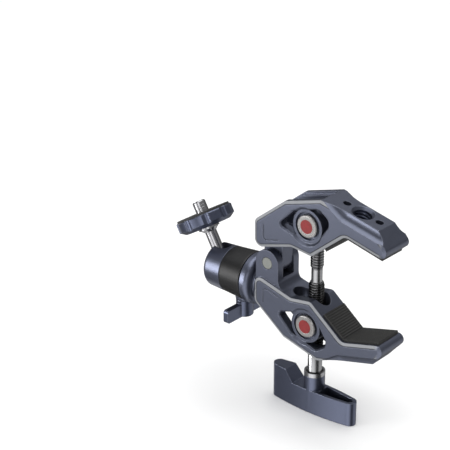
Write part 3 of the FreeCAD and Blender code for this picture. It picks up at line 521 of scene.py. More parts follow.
    def _relief(self, graph: Graph, place: bpy.types.Node, fine: bpy.types.Node,
                rounded: bpy.types.Node | None) -> bpy.types.Node:
        """Raise the grain over ribs or rounded edges, where the finish has them.

        Args:
            graph: The material's nodes.
            place: Its coordinates.
            fine: The grain's noise.
            rounded: The softened edges' normal, where the finish has it.

        Returns:
            The node that gives the surface's normal.
        """
        bump = graph.add("ShaderNodeBump", {"Strength": self.grain, "Distance": self.grain_depth,
                                            "Height": fine})
        if self.rib_spacing:
            spot = graph.add("ShaderNodeSeparateXYZ", {0: place.outputs["Object"]})
            along = graph.add("ShaderNodeMath", {0: spot.outputs["X"], 1: self.rib_spacing},
                              operation="DIVIDE")
            wave = graph.add("ShaderNodeMath", {0: along, 1: 0.5}, operation="PINGPONG")
            height = graph.add("ShaderNodeMath", {0: wave, 1: 2.0}, operation="MULTIPLY")
            rounded = graph.add("ShaderNodeBump", {"Strength": self.rib_strength, "Height": height,
                                                   "Distance": self.rib_spacing * self.rib_share})
        if rounded:
            graph.feed(bump.inputs["Normal"], rounded)
        return bump


class Finishes:
    """All finishes, built once and looked up by name."""

    LIST = (
        # Die cast aluminium, blasted and anodised blue grey: a soft sheen over a fine grain. The wide
        # bevels are milled after anodising, which leaves a matt silver band. The dark line beside it is
        # painted shade, standing in for a small step next to the side face. Edges are lightened partly by
        # wear and partly by a painted highlight.
        Finish("jaw_anodised", "575b69", 0.80, 0.36, edge_colour="85878b", step_shade_colour="2c2e38",
               edge_round=0.5 * MM, wear_and_highlight=0.10),
        # Machined and anodised aluminium: smoother than the castings, with edges lightened by wear and a
        # painted highlight.
        Finish("part_anodised", "575c6e", 0.85, 0.30, edge_round=0.5 * MM, wear_and_highlight=0.15),
        # Turned and anodised aluminium: a broad soft highlight along the barrel, and edges lightened by wear
        # and a painted highlight.
        Finish("head_anodised", "5b5f6e", 0.90, 0.36, grain=0.12, edge_round=0.4 * MM, wear_and_highlight=0.10),
        # Moulded rubber disc: dull, with a coarse skin.
        Finish("rubber", "2c2c2d", 0.0, 0.72, grain=0.5, grain_size=0.5 * MM, grain_depth=0.04 * MM),
        # Moulded rubber pad: near black, with ribs that are drawn about twice as wide as the real ones,
        # which would be too fine to show.
        Finish("pad_rubber", "1b1b1a", 0.0, 0.60, grain=0.4, grain_size=0.4 * MM, grain_depth=0.03 * MM,
               rib_spacing=0.9 * MM),
        # Black anodised sleeve with a pressed knurl: satin diamonds, with painted shade in the grooves.
        Finish("black_grip", "1c1c1d", 0.3, 0.44, grain=0.2, painted_groove_shade=0.7),
        # Rolled stainless steel screw: bright crests, painted shade in the roots, and turning rings.
        Finish("screw_steel", "9a9a9c", 1.0, 0.25, grain=0.15, turned=True, painted_groove_shade=0.85),
        # Polished stainless steel stem and ball: clear dark and light bands, and painted shade in the stud
        # thread's roots.
        Finish("stem_steel", "a2a2a5", 1.0, 0.25, grain=0.08, painted_groove_shade=0.9),
        # Nickel plated barrel nuts: a clean bright face with soft edges.
        Finish("nut_steel", "a3a1a0", 0.95, 0.28, grain=0.2, edge_round=0.3 * MM),
        # Pressed hinge pin, blasted: flat and grey.
        Finish("pin_steel", "7f817d", 0.55, 0.45),
        # Red anodised cap: deep and uneven, with a thin gloss.
        Finish("red_inlay", "7c1518", 0.15, 0.46, mottle=0.35, mottle_size=1.0 * MM, coat=0.08,
               edge_round=0.3 * MM),
        # Moulded nylon seat: pale and matt.
        Finish("nylon", "d8d6cc", 0.0, 0.5),
    )
    NODES = {
        "lower_jaw": "jaw_anodised",
        "upper_jaw": "jaw_anodised",
        "lower_pad": "pad_rubber",
        "upper_pad": "pad_rubber",
        "hinge_pin": "pin_steel",
        "lower_nut": "nut_steel",
        "upper_nut": "nut_steel",
        "lower_nut_caps": "red_inlay",
        "upper_nut_caps": "red_inlay",
        "hub_collar": "stem_steel",
        "lead_screw": "screw_steel",
        "handle_screw": "screw_steel",
        "tee_handle": "part_anodised",
        "head_base": "head_anodised",
        "head_bolt": "screw_steel",
        "ball_housing": "head_anodised",
        "grip_sleeve": "black_grip",
        "ball_seat": "nylon",
        "wing_stud": "screw_steel",
        "wing_knob": "part_anodised",
        "ball_stem": "stem_steel",
        "thumbwheel": "part_anodised",
        "wheel_rubber": "rubber",
    }

    def __init__(self) -> None:
        """Build each finish's material."""
        self.built = {finish.name: finish.build() for finish in self.LIST}

    def __getitem__(self, name: str) -> bpy.types.Material:
        """Return the material of a finish."""
        return self.built[name]

    def paint_frame(self, nodes: dict[str, bpy.types.Object]) -> None:
        """Give each CAD node its finish.

        Args:
            nodes: The frame's objects by node name.
        """
        for node, finish in self.NODES.items():
            slots = nodes[node].material_slots
            if not slots:
                nodes[node].data.materials.append(self[finish])
            for slot in slots:
                slot.material = self[finish]


def linked(name: str, mesh: bpy.types.Mesh, material: bpy.types.Material) -> bpy.types.Object:
    """Put a mesh into the scene as an object with one material.

    Args:
        name: The object's name.
        mesh: Its skin.
        material: The finish.

    Returns:
        The new object, at the origin.
    """
    mesh.materials.clear()
    mesh.materials.append(material)
    item = bpy.data.objects.new(name, mesh)
    bpy.context.scene.collection.objects.link(item)
    return item


def smoothed(mesh: bpy.types.Mesh, sharp_degrees: float | None = None) -> None:
    """Shade a mesh smooth.

    Args:
        mesh: The mesh to shade.
        sharp_degrees: Edges that turn by more than this stay sharp.
    """
    for face in mesh.polygons:
        face.use_smooth = True
    if sharp_degrees is not None:
        mesh.set_sharp_from_angle(angle=math.radians(sharp_degrees))


def mesh_object(name: str, points: list, faces: list, material: bpy.types.Material) -> bpy.types.Object:
    """Make a smooth shaded mesh object.

    Args:
        name: The object's name.
        points: The vertices' places.
        faces: The faces, each as its vertices' numbers.
        material: The finish.

    Returns:
        The new object.
    """
    mesh = bpy.data.meshes.new(name)
    mesh.from_pydata(points, [], faces)
    mesh.validate()
    smoothed(mesh)
    return linked(name, mesh, material)


def welded(item: bpy.types.Object) -> bpy.types.Object:
    """Merge the object's doubled vertices and turn its faces outwards.

    Args:
        item: The object to weld.

    Returns:
        The same object.
    """
    shape = bmesh.new()
    shape.from_mesh(item.data)
    bmesh.ops.remove_doubles(shape, verts=shape.verts, dist=2 * WELD)
    bmesh.ops.recalc_face_normals(shape, faces=shape.faces)
    shape.to_mesh(item.data)
    shape.free()
    return item


def lathe(name: str, profile: list[tuple[float, float]], material: bpy.types.Material,
          segments: int = 64) -> bpy.types.Object:
    """Turn a profile about the z axis.

    Args:
        name: The new object's name.
        profile: Radius and height pairs, ordered from one end to the other.
        material: The finish.
        segments: Steps round the axis.

    Returns:
        The turned object.
    """
    points = []
    for radius, height in profile:
        for step in range(segments):
            angle = math.tau * step / segments
            points.append((radius * math.cos(angle), radius * math.sin(angle), height))
    faces = []
    for ring in range(len(profile) - 1):
        for step in range(segments):
            here = ring * segments + step
            there = ring * segments + (step + 1) % segments
            faces.append((here, there, there + segments, here + segments))
    item = welded(mesh_object(name, points, faces, material))
    smoothed(item.data, TURNED_SHARP)
    return item


def placed(item: bpy.types.Object, matrix: Matrix) -> bpy.types.Object:
    """Move the object's own vertices, so that the object stays at the origin.

    Args:
        item: The object to move.
        matrix: The move.

    Returns:
        The same object.
    """
    item.data.transform(matrix)
    item.data.update()
    return item


def joined(name: str, items: list[bpy.types.Object]) -> bpy.types.Object:
    """Join mesh objects into one.

    Args:
        name: The joined object's name.
        items: The objects, the first of which takes in the others.

    Returns:
        The joined object.
    """
    for other in bpy.context.selected_objects:
        other.select_set(False)
    for item in items:
        item.select_set(True)
    bpy.context.view_layer.objects.active = items[0]
    bpy.ops.object.join()
    items[0].name = name
    items[0].data.name = name
    return items[0]


@dataclass
class ReliefTube:
    """A geometry nodes tube whose surface carries a repeated relief."""

    name: str
    around: int
    along: int
    material: bpy.types.Material

    def build(self, sizes: dict[str, float], relief: Callable[..., bpy.types.Node]) -> bpy.types.Object:
        """Build the tree and turn its result into a mesh object.

        Args:
            sizes: Named inputs; Start radius, End radius, Length and Depth are needed.
            relief: Gives the relief from 0 to 1 from the graph, inputs, turn and height.

        Returns:
            The mesh object, along +z from the origin.
        """
        tree = bpy.data.node_groups.new(self.name, "GeometryNodeTree")
        for key, value in sizes.items():
            socket = tree.interface.new_socket(key, in_out="INPUT", socket_type="NodeSocketFloat")
            socket.default_value = value
        tree.interface.new_socket("Tube", in_out="OUTPUT", socket_type="NodeSocketGeometry")
        graph = Graph(tree)
        given = graph.add("NodeGroupInput").outputs
        grid = graph.add("GeometryNodeMeshGrid", {"Size X": 1.0, "Size Y": 1.0, "Vertices X": self.around + 1,
                                                  "Vertices Y": self.along + 1})
        spot = graph.add("ShaderNodeSeparateXYZ", {0: graph.add("GeometryNodeInputPosition")})
        turn = graph.add("ShaderNodeMath", {0: spot.outputs["X"], 1: 0.5}, operation="ADD")
        rise = graph.add("ShaderNodeMath", {0: spot.outputs["Y"], 1: 0.5}, operation="ADD")
        height = graph.add("ShaderNodeMath", {0: rise, 1: given["Length"]}, operation="MULTIPLY")
        taper = graph.add("ShaderNodeMath", {0: given["End radius"], 1: given["Start radius"]},
                          operation="SUBTRACT")
        outer = graph.add("ShaderNodeMath", {0: taper, 1: rise, 2: given["Start radius"]},
                          operation="MULTIPLY_ADD")
        sunk = graph.add("ShaderNodeMath", {0: 1.0, 1: relief(graph, given, turn, height)},
                         operation="SUBTRACT")
        cut = graph.add("ShaderNodeMath", {0: sunk, 1: given["Depth"]}, operation="MULTIPLY")
        radius = graph.add("ShaderNodeMath", {0: outer, 1: cut}, operation="SUBTRACT")
        angle = graph.add("ShaderNodeMath", {0: turn, 1: math.tau}, operation="MULTIPLY")
        east = graph.add("ShaderNodeMath", {0: angle}, operation="COSINE")
        north = graph.add("ShaderNodeMath", {0: angle}, operation="SINE")
        place = graph.add("ShaderNodeCombineXYZ", {
            "X": graph.add("ShaderNodeMath", {0: radius, 1: east}, operation="MULTIPLY"),
            "Y": graph.add("ShaderNodeMath", {0: radius, 1: north}, operation="MULTIPLY"),
            "Z": height,
        })
        moved = graph.add("GeometryNodeSetPosition", {"Geometry": grid, "Position": place})
        marked = graph.add("GeometryNodeStoreNamedAttribute", {"Geometry": moved, "Name": "groove",
                                                               "Value": sunk})
        closed = graph.add("GeometryNodeMergeByDistance", {"Geometry": marked, "Distance": 2 * WELD})
        real = graph.add("GeometryNodeRealizeInstances", {"Geometry": closed})
        painted = graph.add("GeometryNodeSetMaterial", {"Geometry": real, "Material": self.material})
        graph.add("NodeGroupOutput", {"Tube": painted})
        return self._converted(tree)

    def _converted(self, tree: bpy.types.NodeTree) -> bpy.types.Object:
        """Apply the tree to an empty mesh and keep the result.

        Args:
            tree: The finished tree.

        Returns:
            The plain mesh object, with no modifier left on it.
        """
        seed = bpy.data.objects.new(f"{self.name}_seed", bpy.data.meshes.new(f"{self.name}_seed"))
        bpy.context.scene.collection.objects.link(seed)
        modifier = seed.modifiers.new("relief", "NODES")
        modifier.node_group = tree
        depsgraph = bpy.context.evaluated_depsgraph_get()
        mesh = bpy.data.meshes.new_from_object(seed.evaluated_get(depsgraph))
        bpy.data.objects.remove(seed)
        smoothed(mesh)
        return linked(self.name, mesh, self.material)


def thread_relief(hand: Hand) -> Callable[..., bpy.types.Node]:
    """Give a V thread with flat crests that fades out at both ends.

    Args:
        hand: Which way it winds.

    Returns:
        A relief function for ReliefTube.
    """

    def relief(graph: Graph, given: bpy.types.NodeOutputs, turn: bpy.types.Node,
               height: bpy.types.Node) -> bpy.types.Node:
        """Give the thread's height at one place.

        Args:
            graph: The tube's nodes.
            given: Its named inputs.
            turn: The place round the tube, from 0 to 1.
            height: The place along it.

        Returns:
            The node that gives the relief.
        """
        rows = graph.add("ShaderNodeMath", {0: height, 1: given["Pitch"]}, operation="DIVIDE")
        wound = graph.add("ShaderNodeMath", {0: turn, 1: hand.value}, operation="MULTIPLY")
        phase = graph.add("ShaderNodeMath", {0: rows, 1: wound}, operation="SUBTRACT")
        half = graph.add("ShaderNodeMath", {0: phase, 1: 0.5}, operation="PINGPONG")
        wave = graph.add("ShaderNodeMath", {0: half, 1: 2.0}, operation="MULTIPLY")
        steep = graph.add("ShaderNodeMath", {0: wave, 1: THREAD_STEEPNESS, 2: THREAD_SHIFT},
                          operation="MULTIPLY_ADD")
        crest = graph.add("ShaderNodeClamp", {"Value": steep})
        rest = graph.add("ShaderNodeMath", {0: given["Length"], 1: height}, operation="SUBTRACT")
        ends = graph.add("ShaderNodeMath", {0: height, 1: rest}, operation="MINIMUM")
        share = graph.add("ShaderNodeMath", {0: ends, 1: given["Pitch"]}, operation="DIVIDE")
        fade = graph.add("ShaderNodeClamp", {"Value": share})
        return graph.add("ShaderNodeMath", {0: crest, 1: fade}, operation="MULTIPLY")

    return relief


def knurl_relief(graph: Graph, given: bpy.types.NodeOutputs, turn: bpy.types.Node,
                 height: bpy.types.Node) -> bpy.types.Node:
    """Give small diamonds between two crossed sets of grooves.

    Args:
        graph: The tube's nodes.
        given: Its named inputs.
        turn: The place round the tube, from 0 to 1.
        height: The place along it.

    Returns:
        The node that gives the relief.
    """
    lean = graph.add("ShaderNodeMath", {0: height, 1: given["Diamond height"]}, operation="DIVIDE")
    row = graph.add("ShaderNodeMath", {0: turn, 1: given["Diamonds"]}, operation="MULTIPLY")
    sides = []
    for operation in ("ADD", "SUBTRACT"):
        phase = graph.add("ShaderNodeMath", {0: row, 1: lean}, operation=operation)
        half = graph.add("ShaderNodeMath", {0: phase, 1: 0.5}, operation="PINGPONG")
        sides.append(graph.add("ShaderNodeMath", {0: half, 1: 2.0}, operation="MULTIPLY"))
    lower = graph.add("ShaderNodeMath", {0: sides[0], 1: sides[1]}, operation="MINIMUM")
    peak = graph.add("ShaderNodeMath", {0: lower, 1: DIAMOND_STEEPNESS}, operation="MULTIPLY")
    top = graph.add("ShaderNodeClamp", {"Value": peak})
    rest = graph.add("ShaderNodeMath", {0: given["Length"], 1: height}, operation="SUBTRACT")
    ends = graph.add("ShaderNodeMath", {0: height, 1: rest}, operation="MINIMUM")
    share = graph.add("ShaderNodeMath", {0: ends, 1: given["Rim"]}, operation="DIVIDE")
    rim = graph.add("ShaderNodeClamp", {"Value": share})
    return graph.add("ShaderNodeMath", {0: top, 1: rim}, operation="MULTIPLY")


@dataclass
class Castings:
    """The jaws and the handle, finished from merged copies of their CAD solids."""

    nodes: dict[str, bpy.types.Object]
    finishes: Finishes
    bar: BarSizes = BarSizes()
    axis: float = HINGE.x + ScrewSizes.axis_x

    def _finished(self, mesh: bpy.types.Mesh, node: str, body: str) -> bpy.types.Object:
        """Turn a mesh into a piece that stands for its CAD node.

        Args:
            mesh: Its skin, which names the piece too.
            node: The CAD node that it replaces.
            body: The body that it rides on.

        Returns:
            The finished piece.
        """
        item = linked(mesh.name, mesh, self.finishes[Finishes.NODES[node]])
        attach(item, body)
        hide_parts(node)
        return item

    def _near_part(self, ring: list[tuple[Vector, Vector]]) -> list[tuple[Vector, Vector]]:
        """Cut a polygon at the middle plane and keep its near side.

        Args:
            ring: The polygon's corners, each a point and its normal.

        Returns:
            The near side's corners, in the same order.
        """
        kept = []
        for index, (spot, normal) in enumerate(ring):
            if spot.y <= 0:
                kept.append((spot, normal))
            other, other_normal = ring[(index + 1) % len(ring)]
            if min(spot.y, other.y) < 0 < max(spot.y, other.y):
                first, second = sorted((spot, other), key=lambda point: point.y)
                cut = first.lerp(second, first.y / (first.y - second.y))
                cut.y = 0.0
                share = spot.y / (spot.y - other.y)
                kept.append((cut, normal.lerp(other_normal, share).normalized()))
        return kept

    def jaw(self, node: str) -> bpy.types.Object:
        """Give a jaw the near side's wide bevel on its far side too.

        Args:
            node: The jaw's CAD node, which names its body too.

        Returns:
            The jaw, near side and mirrored near side in one closed shell with the solid's normals.
        """
        source = self.nodes[node].data
        spots: dict[tuple[int, int, int], int] = {}
        faces = []
        normals = []
        for face in source.polygons:
            ring = [
                (source.vertices[source.loops[loop].vertex_index].co, source.corner_normals[loop].vector)
                for loop in face.loop_indices
            ]
            near = self._near_part(ring)
            for way in (1, -1):
                corner_normals: dict[int, tuple[float, float, float]] = {}
                for spot, normal in near[::way]:
                    key = (round(spot.x / WELD), round(spot.y * way / WELD), round(spot.z / WELD))
                    corner = spots.setdefault(key, len(spots))
                    corner_normals.setdefault(corner, (normal.x, normal.y * way, normal.z))
                if len(corner_normals) > 2:
                    faces.append(list(corner_normals))
                    normals.extend(corner_normals.values())
        mesh = bpy.data.meshes.new(f"{node}_casting")
        mesh.from_pydata([Vector(key) * WELD for key in spots], [], faces)
        smoothed(mesh)
        mesh.normals_split_custom_set(normals)
        return self._finished(mesh, node, node)

    def _on_hub(self, face: bmesh.types.BMFace) -> bool:
        """Tell whether a face is on the hub above the bar.

        Args:
            face: A face of the handle's copy.

        Returns:
            True when any corner of it stands above the bar and close to the screw's axis.
        """
        b = self.bar
        return any(
            v.co.z > b.top + b.hub_margin
            and math.hypot(v.co.x - self.axis, v.co.y) < b.middle_half + b.hub_margin
            for v in face.verts
        )

    def _sliced(self, shape: bmesh.types.BMesh) -> set[bmesh.types.BMVert]:
        """Cut the bar from the hub at its top, and cut it across in even steps.

        Args:
            shape: The handle's merged copy.

        Returns:
            The bar's vertices.
        """
        b = self.bar
        bmesh.ops.bisect_plane(shape, geom=[*shape.verts, *shape.edges, *shape.faces], dist=0.5 * WELD,
                               plane_co=(0, 0, b.top), plane_no=(0, 0, 1))
        count = round(b.straight / b.slice)
        for step in range(-count, count + 1):
            bar = [face for face in shape.faces if not self._on_hub(face)]
            edges = {edge for face in bar for edge in face.edges}
            verts = {vert for face in bar for vert in face.verts}
            bmesh.ops.bisect_plane(shape, geom=[*verts, *edges, *bar], dist=0.5 * WELD,
                                   plane_co=(self.axis + step * b.slice, 0, 0), plane_no=(1, 0, 0))
        return {vert for face in shape.faces if not self._on_hub(face) for vert in face.verts}

    def _bulge(self, bar_verts: set[bmesh.types.BMVert]) -> None:
        """Move the bar's outer wall from its straight taper out to one arc.

        Args:
            bar_verts: The bar's vertices.
        """
        b = self.bar
        rise = b.middle_half - b.end_half
        radius = (b.straight**2 + rise**2) / (2 * rise)
        for vert in bar_verts:
            out = abs(vert.co.x - self.axis)
            if out > b.straight:
                continue
            straight_half = b.middle_half - rise * out / b.straight
            round_half = b.middle_half - radius + math.sqrt(radius**2 - out**2)
            if abs(vert.co.y) > straight_half - 2 * WELD:
                vert.co.y = math.copysign(round_half, vert.co.y)
            elif math.hypot(out, vert.co.y) > b.middle_half + 2 * WELD:
                vert.co.y *= round_half / straight_half

    def handle(self) -> bpy.types.Object:
        """Make the handle with smoothly bulged sides and a hair of room under its collar.

        Returns:
            The handle, in the tee handle node's place.
        """
        b = self.bar
        shape = bmesh.new()
        shape.from_mesh(self.nodes["tee_handle"].data)
        bmesh.ops.remove_doubles(shape, verts=shape.verts, dist=WELD)
        self._bulge(self._sliced(shape))
        for vert in shape.verts:
            vert.co.z = min(vert.co.z, b.hub_top - b.clearance)
        bmesh.ops.remove_doubles(shape, verts=shape.verts, dist=2 * WELD)
        mesh = bpy.data.meshes.new("bulged_handle")
        shape.to_mesh(mesh)
        shape.free()
        # The copied corner normals no longer fit the moved walls.
        if "custom_normal" in mesh.attributes:
            mesh.attributes.remove(mesh.attributes["custom_normal"])
        smoothed(mesh, HANDLE_SHARP)
        return self._finished(mesh, "tee_handle", "screw")


@dataclass
class Screws:
    """The threads of the clamp: lead screw, camera stud and accessory hole."""

    finishes: Finishes
    screw: ScrewSizes = ScrewSizes()
    head: HeadSizes = HeadSizes()
    arm: ArmSizes = ArmSizes()
    steps_around: int = 48
    steps_per_pitch: int = 16

    def thread(self, name: str, length: float, radius: float, pitch: float, depth: float, hand: Hand,
               finish: str) -> bpy.types.Object:
        """Make one threaded length along +z from the origin.

        Args:
            name: The new object's name.
            length: The threaded length.
            radius: The crests' radius.
            pitch: The distance between turns.
            depth: How deep the roots lie.
            hand: Which way it winds.
            finish: The finish's name.

        Returns:
            The thread as an open tube.
        """
        steps = round(length / pitch * self.steps_per_pitch)
        tube = ReliefTube(name, self.steps_around, steps, self.finishes[finish])
        sizes = {
            "Start radius": radius,
            "End radius": radius,
            "Length": length,
            "Depth": depth,
            "Pitch": pitch,
        }
        return tube.build(sizes, thread_relief(hand))

    def lead_screw(self) -> bpy.types.Object:
        """Make the whole lead screw, with one left and one right hand thread.

        Returns:
            The screw, in the lead screw node's place.
        """
        s = self.screw
        steel = "screw_steel"
        upper = self.thread("upper_thread", s.top - s.neck_top, s.upper_radius, s.pitch, s.thread_depth,
                            Hand.LEFT, steel)
        lower = self.thread("lower_thread", s.neck_low - s.thread_low, s.lower_radius, s.pitch,
                            s.thread_depth, Hand.RIGHT, steel)
        placed(upper, Matrix.Translation((0, 0, s.neck_top)))
        placed(lower, Matrix.Translation((0, 0, s.thread_low)))
        upper_core = s.upper_radius - s.thread_depth
        lower_core = s.lower_radius - s.thread_depth
        profile = [
            (0.0, s.low),
            (s.shank_radius, s.low),
            (s.shank_radius, s.thread_low - s.shank_bevel),
            (lower_core, s.thread_low),
            (lower_core, s.neck_low - s.core_bevel),
            (lower_core - s.core_bevel, s.neck_low),
            (s.neck_radius, s.neck_low),
            (s.neck_radius, s.neck_top - s.core_bevel),
            (upper_core, s.neck_top),
            (upper_core, s.top - s.core_bevel),
            (upper_core - s.core_bevel, s.top),
            (0.0, s.top),
        ]
        core = lathe("screw_core", profile, self.finishes[steel])
        screw = joined("threaded_screw", [core, upper, lower])
        placed(screw, Matrix.Translation(HINGE + Vector((s.axis_x, 0, 0))))
        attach(screw, "screw")
        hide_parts("lead_screw")
        return screw

    def stud_thread(self) -> bpy.types.Object:
        """Make the thread that shows on the camera stud.

        Returns:
            The thread, which adds to the ball stem.
        """
        h = self.head
        thread = self.thread("stud_thread", h.stud_end - h.stud_start, h.stud_radius, h.stud_pitch,
                             h.stud_thread_depth, Hand.RIGHT, "stem_steel")
        placed(thread, Matrix.Translation((0, 0, h.stud_start)))
        centre = HINGE + Vector((-h.ball_x, 0, -h.drop))
        placed(thread, Matrix.Translation(centre) @ Matrix.Rotation(-h.stem_lean, 4, "Y"))
        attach(thread, "ball")
        return thread

    def arm_thread(self) -> bpy.types.Object:
        """Make the turns inside the accessory hole, as a tube that faces inwards along its wall.

        Returns:
            The thread, which adds to the upper jaw.
        """
        a = self.arm
        thread = self.thread("arm_thread", a.depth, a.wall, a.pitch, a.thread_depth, Hand.RIGHT,
                             "part_anodised")
        placed(thread, Matrix.Translation((0, 0, -a.depth - a.lead_in)))
        mouth = HINGE + Vector((a.hole_x, 0, a.ridge_z - (a.hole_x - a.ridge_x) * math.tan(a.slope)))
        placed(thread, Matrix.Translation(mouth) @ Matrix.Rotation(a.slope, 4, "Y"))
        thread.data.flip_normals()
        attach(thread, "upper_jaw")
        return thread


@dataclass
class Grip:
    """The knurled sleeve round the ball head."""

    finishes: Finishes
    head: HeadSizes = HeadSizes()
    steps_around: int = 312
    steps_along: int = 46

    def sleeve(self) -> bpy.types.Object:
        """Make the knurled sleeve with its smooth rims and the boss's hole.

        Returns:
            The sleeve, in the grip sleeve node's place.
        """
        h = self.head
        black = self.finishes["black_grip"]
        length = h.sleeve_front - h.sleeve_back
        tube = ReliefTube("sleeve_skin", self.steps_around, self.steps_along, black)
        sizes = {
            "Start radius": h.sleeve_wide,
            "End radius": h.sleeve_narrow,
            "Length": length,
            "Depth": h.knurl_depth,
            "Diamonds": float(h.diamonds_around),
            "Diamond height": h.diamond_height,
            "Rim": h.smooth_rim,
        }
        skin = tube.build(sizes, knurl_relief)
        rims = [
            lathe(name, profile, black, self.steps_around)
            for name, profile in (
                ("rim_back", [(h.sleeve_seat, 0), (h.sleeve_wide - h.knurl_depth, 0)]),
                ("rim_front", [(h.sleeve_narrow - h.knurl_depth, length), (h.sleeve_seat, length)]),
                ("rim_inside", [(h.sleeve_seat, length), (h.sleeve_seat, 0)]),
            )
        ]
        whole = welded(joined("knurled_sleeve", [skin, *rims]))
        start = HINGE + Vector((-h.sleeve_back, 0, -h.drop))
        placed(whole, Matrix.Translation(start) @ Matrix.Rotation(math.radians(-90), 4, "Y"))
        self._cut_boss(whole)
        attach(whole, "head")
        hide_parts("grip_sleeve")
        return whole

    def _cut_boss(self, whole: bpy.types.Object) -> None:
        """Open the sleeve where the wing screw's boss comes through.

        Args:
            whole: The sleeve.
        """
        h = self.head
        shape = bmesh.new()
        shape.from_mesh(whole.data)
        doomed = []
        for face in shape.faces:
            middle = face.calc_center_median()
            under = middle.z < -h.drop - h.sleeve_seat / 2
            if under and math.hypot(middle.x - HINGE.x + h.boss_x, middle.y) < h.boss_hole:
                doomed.append(face)
        bmesh.ops.delete(shape, geom=doomed, context="FACES")
        shape.to_mesh(whole.data)
        shape.free()
        whole.data.set_sharp_from_angle(angle=math.radians(SLEEVE_SHARP))


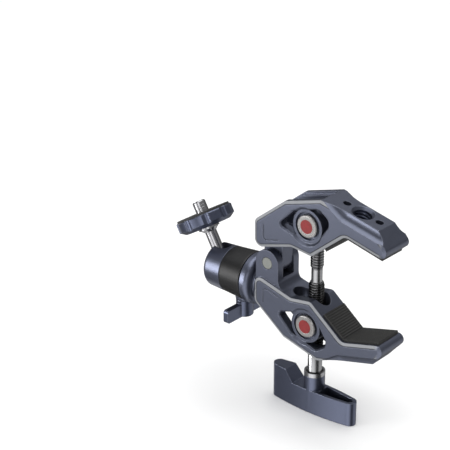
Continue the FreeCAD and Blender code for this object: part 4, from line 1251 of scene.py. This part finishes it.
@dataclass
class Studio:
    """Floor, lights and the photograph's camera."""

    view: ViewSizes = ViewSizes()
    set: SetSizes = SetSizes()

    def floor(self, lowest: float) -> bpy.types.Object:
        """Lay a white floor just below the clamp.

        Args:
            lowest: The clamp's lowest height.

        Returns:
            The floor, which is part of the set.
        """
        far = self.set.floor_reach
        height = lowest - self.set.floor_gap
        points = [(-far, -far, height), (far, -far, height), (far, far, height), (-far, far, height)]
        item = mesh_object("floor", points, [(0, 1, 2, 3)], self._paper())
        item.visible_glossy = False
        item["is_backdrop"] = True
        return item

    def _paper(self) -> bpy.types.Material:
        """Make the floor's paper: white, matt and even.

        Returns:
            The material.
        """
        material = bpy.data.materials.new("floor_paper")
        material.use_nodes = True
        shader = material.node_tree.nodes["Principled BSDF"]
        shader.inputs["Base Color"].default_value = srgb(self.set.paper)
        shader.inputs["Roughness"].default_value = self.set.paper_roughness
        return material

    def lights(self) -> None:
        """Hang the soft boxes, all facing one aim point, and light the world softly."""
        aim = Vector(self.set.aim)
        for box in self.set.boxes:
            lamp = bpy.data.lights.new(box.name, "AREA")
            lamp.shape = "RECTANGLE"
            lamp.size, lamp.size_y = box.size
            lamp.energy = box.power
            item = bpy.data.objects.new(box.name, lamp)
            item.location = box.place
            item.rotation_euler = (aim - Vector(box.place)).to_track_quat("-Z", "Y").to_euler()
            bpy.context.scene.collection.objects.link(item)
        self._room()
        bpy.context.scene.view_settings.view_transform = "Standard"

    def _set_stops(self, ramp: bpy.types.Node, bands: tuple[tuple[float, float], ...]) -> None:
        """Set a colour ramp's stops to greys.

        Args:
            ramp: The colour ramp.
            bands: Pairs of a place and its brightness.
        """
        stops = ramp.color_ramp.elements
        while len(stops) < len(bands):
            stops.new(1.0)
        for stop, (where, bright) in zip(stops, bands):
            stop.position = where
            stop.color = grey(bright)

    def _room(self) -> None:
        """Light the set evenly, and let metal mirror a room of pale paper with dark flags round it."""
        s = self.set
        world = bpy.data.worlds.new("studio")
        world.use_nodes = True
        graph = Graph(world.node_tree)
        way = graph.add("ShaderNodeTexCoord").outputs["Generated"]
        height = graph.add("ShaderNodeSeparateXYZ", {0: way}).outputs["Z"]
        right = (math.cos(self.view.azimuth), math.sin(self.view.azimuth), 0.0)
        front = (math.sin(self.view.azimuth), -math.cos(self.view.azimuth), 0.0)
        parts = [
            graph.add("ShaderNodeVectorMath", {0: way, 1: axis}, operation="DOT_PRODUCT").outputs["Value"]
            for axis in (right, front)
        ]
        angle = graph.add("ShaderNodeMath", {0: parts[0], 1: parts[1]}, operation="ARCTAN2")
        around = graph.add("ShaderNodeMath", {0: angle, 1: 1 / math.tau, 2: 0.5}, operation="MULTIPLY_ADD")
        upwards = graph.add("ShaderNodeMath", {0: height, 1: 0.5, 2: 0.5}, operation="MULTIPLY_ADD")
        below = graph.add("ShaderNodeValToRGB", {"Fac": around})
        self._set_stops(below, s.floor_bands)
        above = graph.add("ShaderNodeValToRGB", {"Fac": upwards})
        self._set_stops(above, s.sky_bands)
        side = graph.add("ShaderNodeMapRange", {"Value": height, "From Min": -s.horizon,
                                                "From Max": s.horizon})
        room = graph.add("ShaderNodeMix", {MIX_FACTOR: side, MIX_FIRST: below, MIX_SECOND: above},
                         data_type="RGBA")
        rays = graph.add("ShaderNodeLightPath").outputs
        plain = graph.add("ShaderNodeMix", {MIX_FACTOR: rays["Is Camera Ray"], MIX_FIRST: grey(s.ambient),
                                            MIX_SECOND: grey(s.backdrop)}, data_type="RGBA")
        light = graph.add("ShaderNodeMix", {MIX_FACTOR: rays["Is Glossy Ray"],
                                            MIX_FIRST: plain.outputs[MIX_RESULT],
                                            MIX_SECOND: room.outputs[MIX_RESULT]}, data_type="RGBA")
        power = graph.add("ShaderNodeMath", {0: rays["Is Glossy Ray"], 1: s.glow - 1.0, 2: 1.0},
                          operation="MULTIPLY_ADD")
        ground = world.node_tree.nodes["Background"]
        graph.feed(ground.inputs["Color"], light.outputs[MIX_RESULT])
        graph.feed(ground.inputs["Strength"], power)
        world.cycles.sampling_method = "NONE"
        bpy.context.scene.world = world

    def camera(self) -> None:
        """Place the camera that took the photograph."""
        v = self.view
        back = Vector((math.sin(v.azimuth) * math.cos(v.elevation),
                       -math.cos(v.azimuth) * math.cos(v.elevation), math.sin(v.elevation)))
        level = Vector((math.cos(v.azimuth), math.sin(v.azimuth), 0.0))
        above = back.cross(level)
        right = level * math.cos(v.roll) + above * math.sin(v.roll)
        up = above * math.cos(v.roll) - level * math.sin(v.roll)
        spot = HINGE + back * v.distance - right * v.aside - up * v.above
        lens = bpy.data.cameras.new("camera")
        lens.sensor_width = v.sensor_mm
        lens.lens = v.focal_pixels * v.sensor_mm / v.image_pixels
        lens.clip_end = v.reach
        item = bpy.data.objects.new("camera", lens)
        item.matrix_world = Matrix.Translation(spot) @ Matrix((right, up, back)).transposed().to_4x4()
        bpy.context.scene.collection.objects.link(item)
        bpy.context.scene.camera = item


def corners(box: tuple) -> list[list[float]]:
    """Turn a pair of corners into plain lists."""
    return [[float(value) for value in corner] for corner in box]


def main() -> None:
    """Load the frame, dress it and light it."""
    logging.basicConfig(level=logging.INFO)
    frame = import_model()
    cad_box = corners(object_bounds())
    finishes = Finishes()
    finishes.paint_frame(frame["nodes"])
    castings = Castings(frame["nodes"], finishes)
    screws = Screws(finishes)
    pieces = [
        castings.jaw("lower_jaw"),
        castings.jaw("upper_jaw"),
        castings.handle(),
        screws.lead_screw(),
        screws.stud_thread(),
        screws.arm_thread(),
        Grip(finishes).sleeve(),
    ]
    for piece in pieces:
        log.info("made %s with %d faces", piece.name, len(piece.data.polygons))
    studio = Studio()
    studio.floor(cad_box[0][2])
    studio.lights()
    studio.camera()


if __name__ == "__main__":
    main()
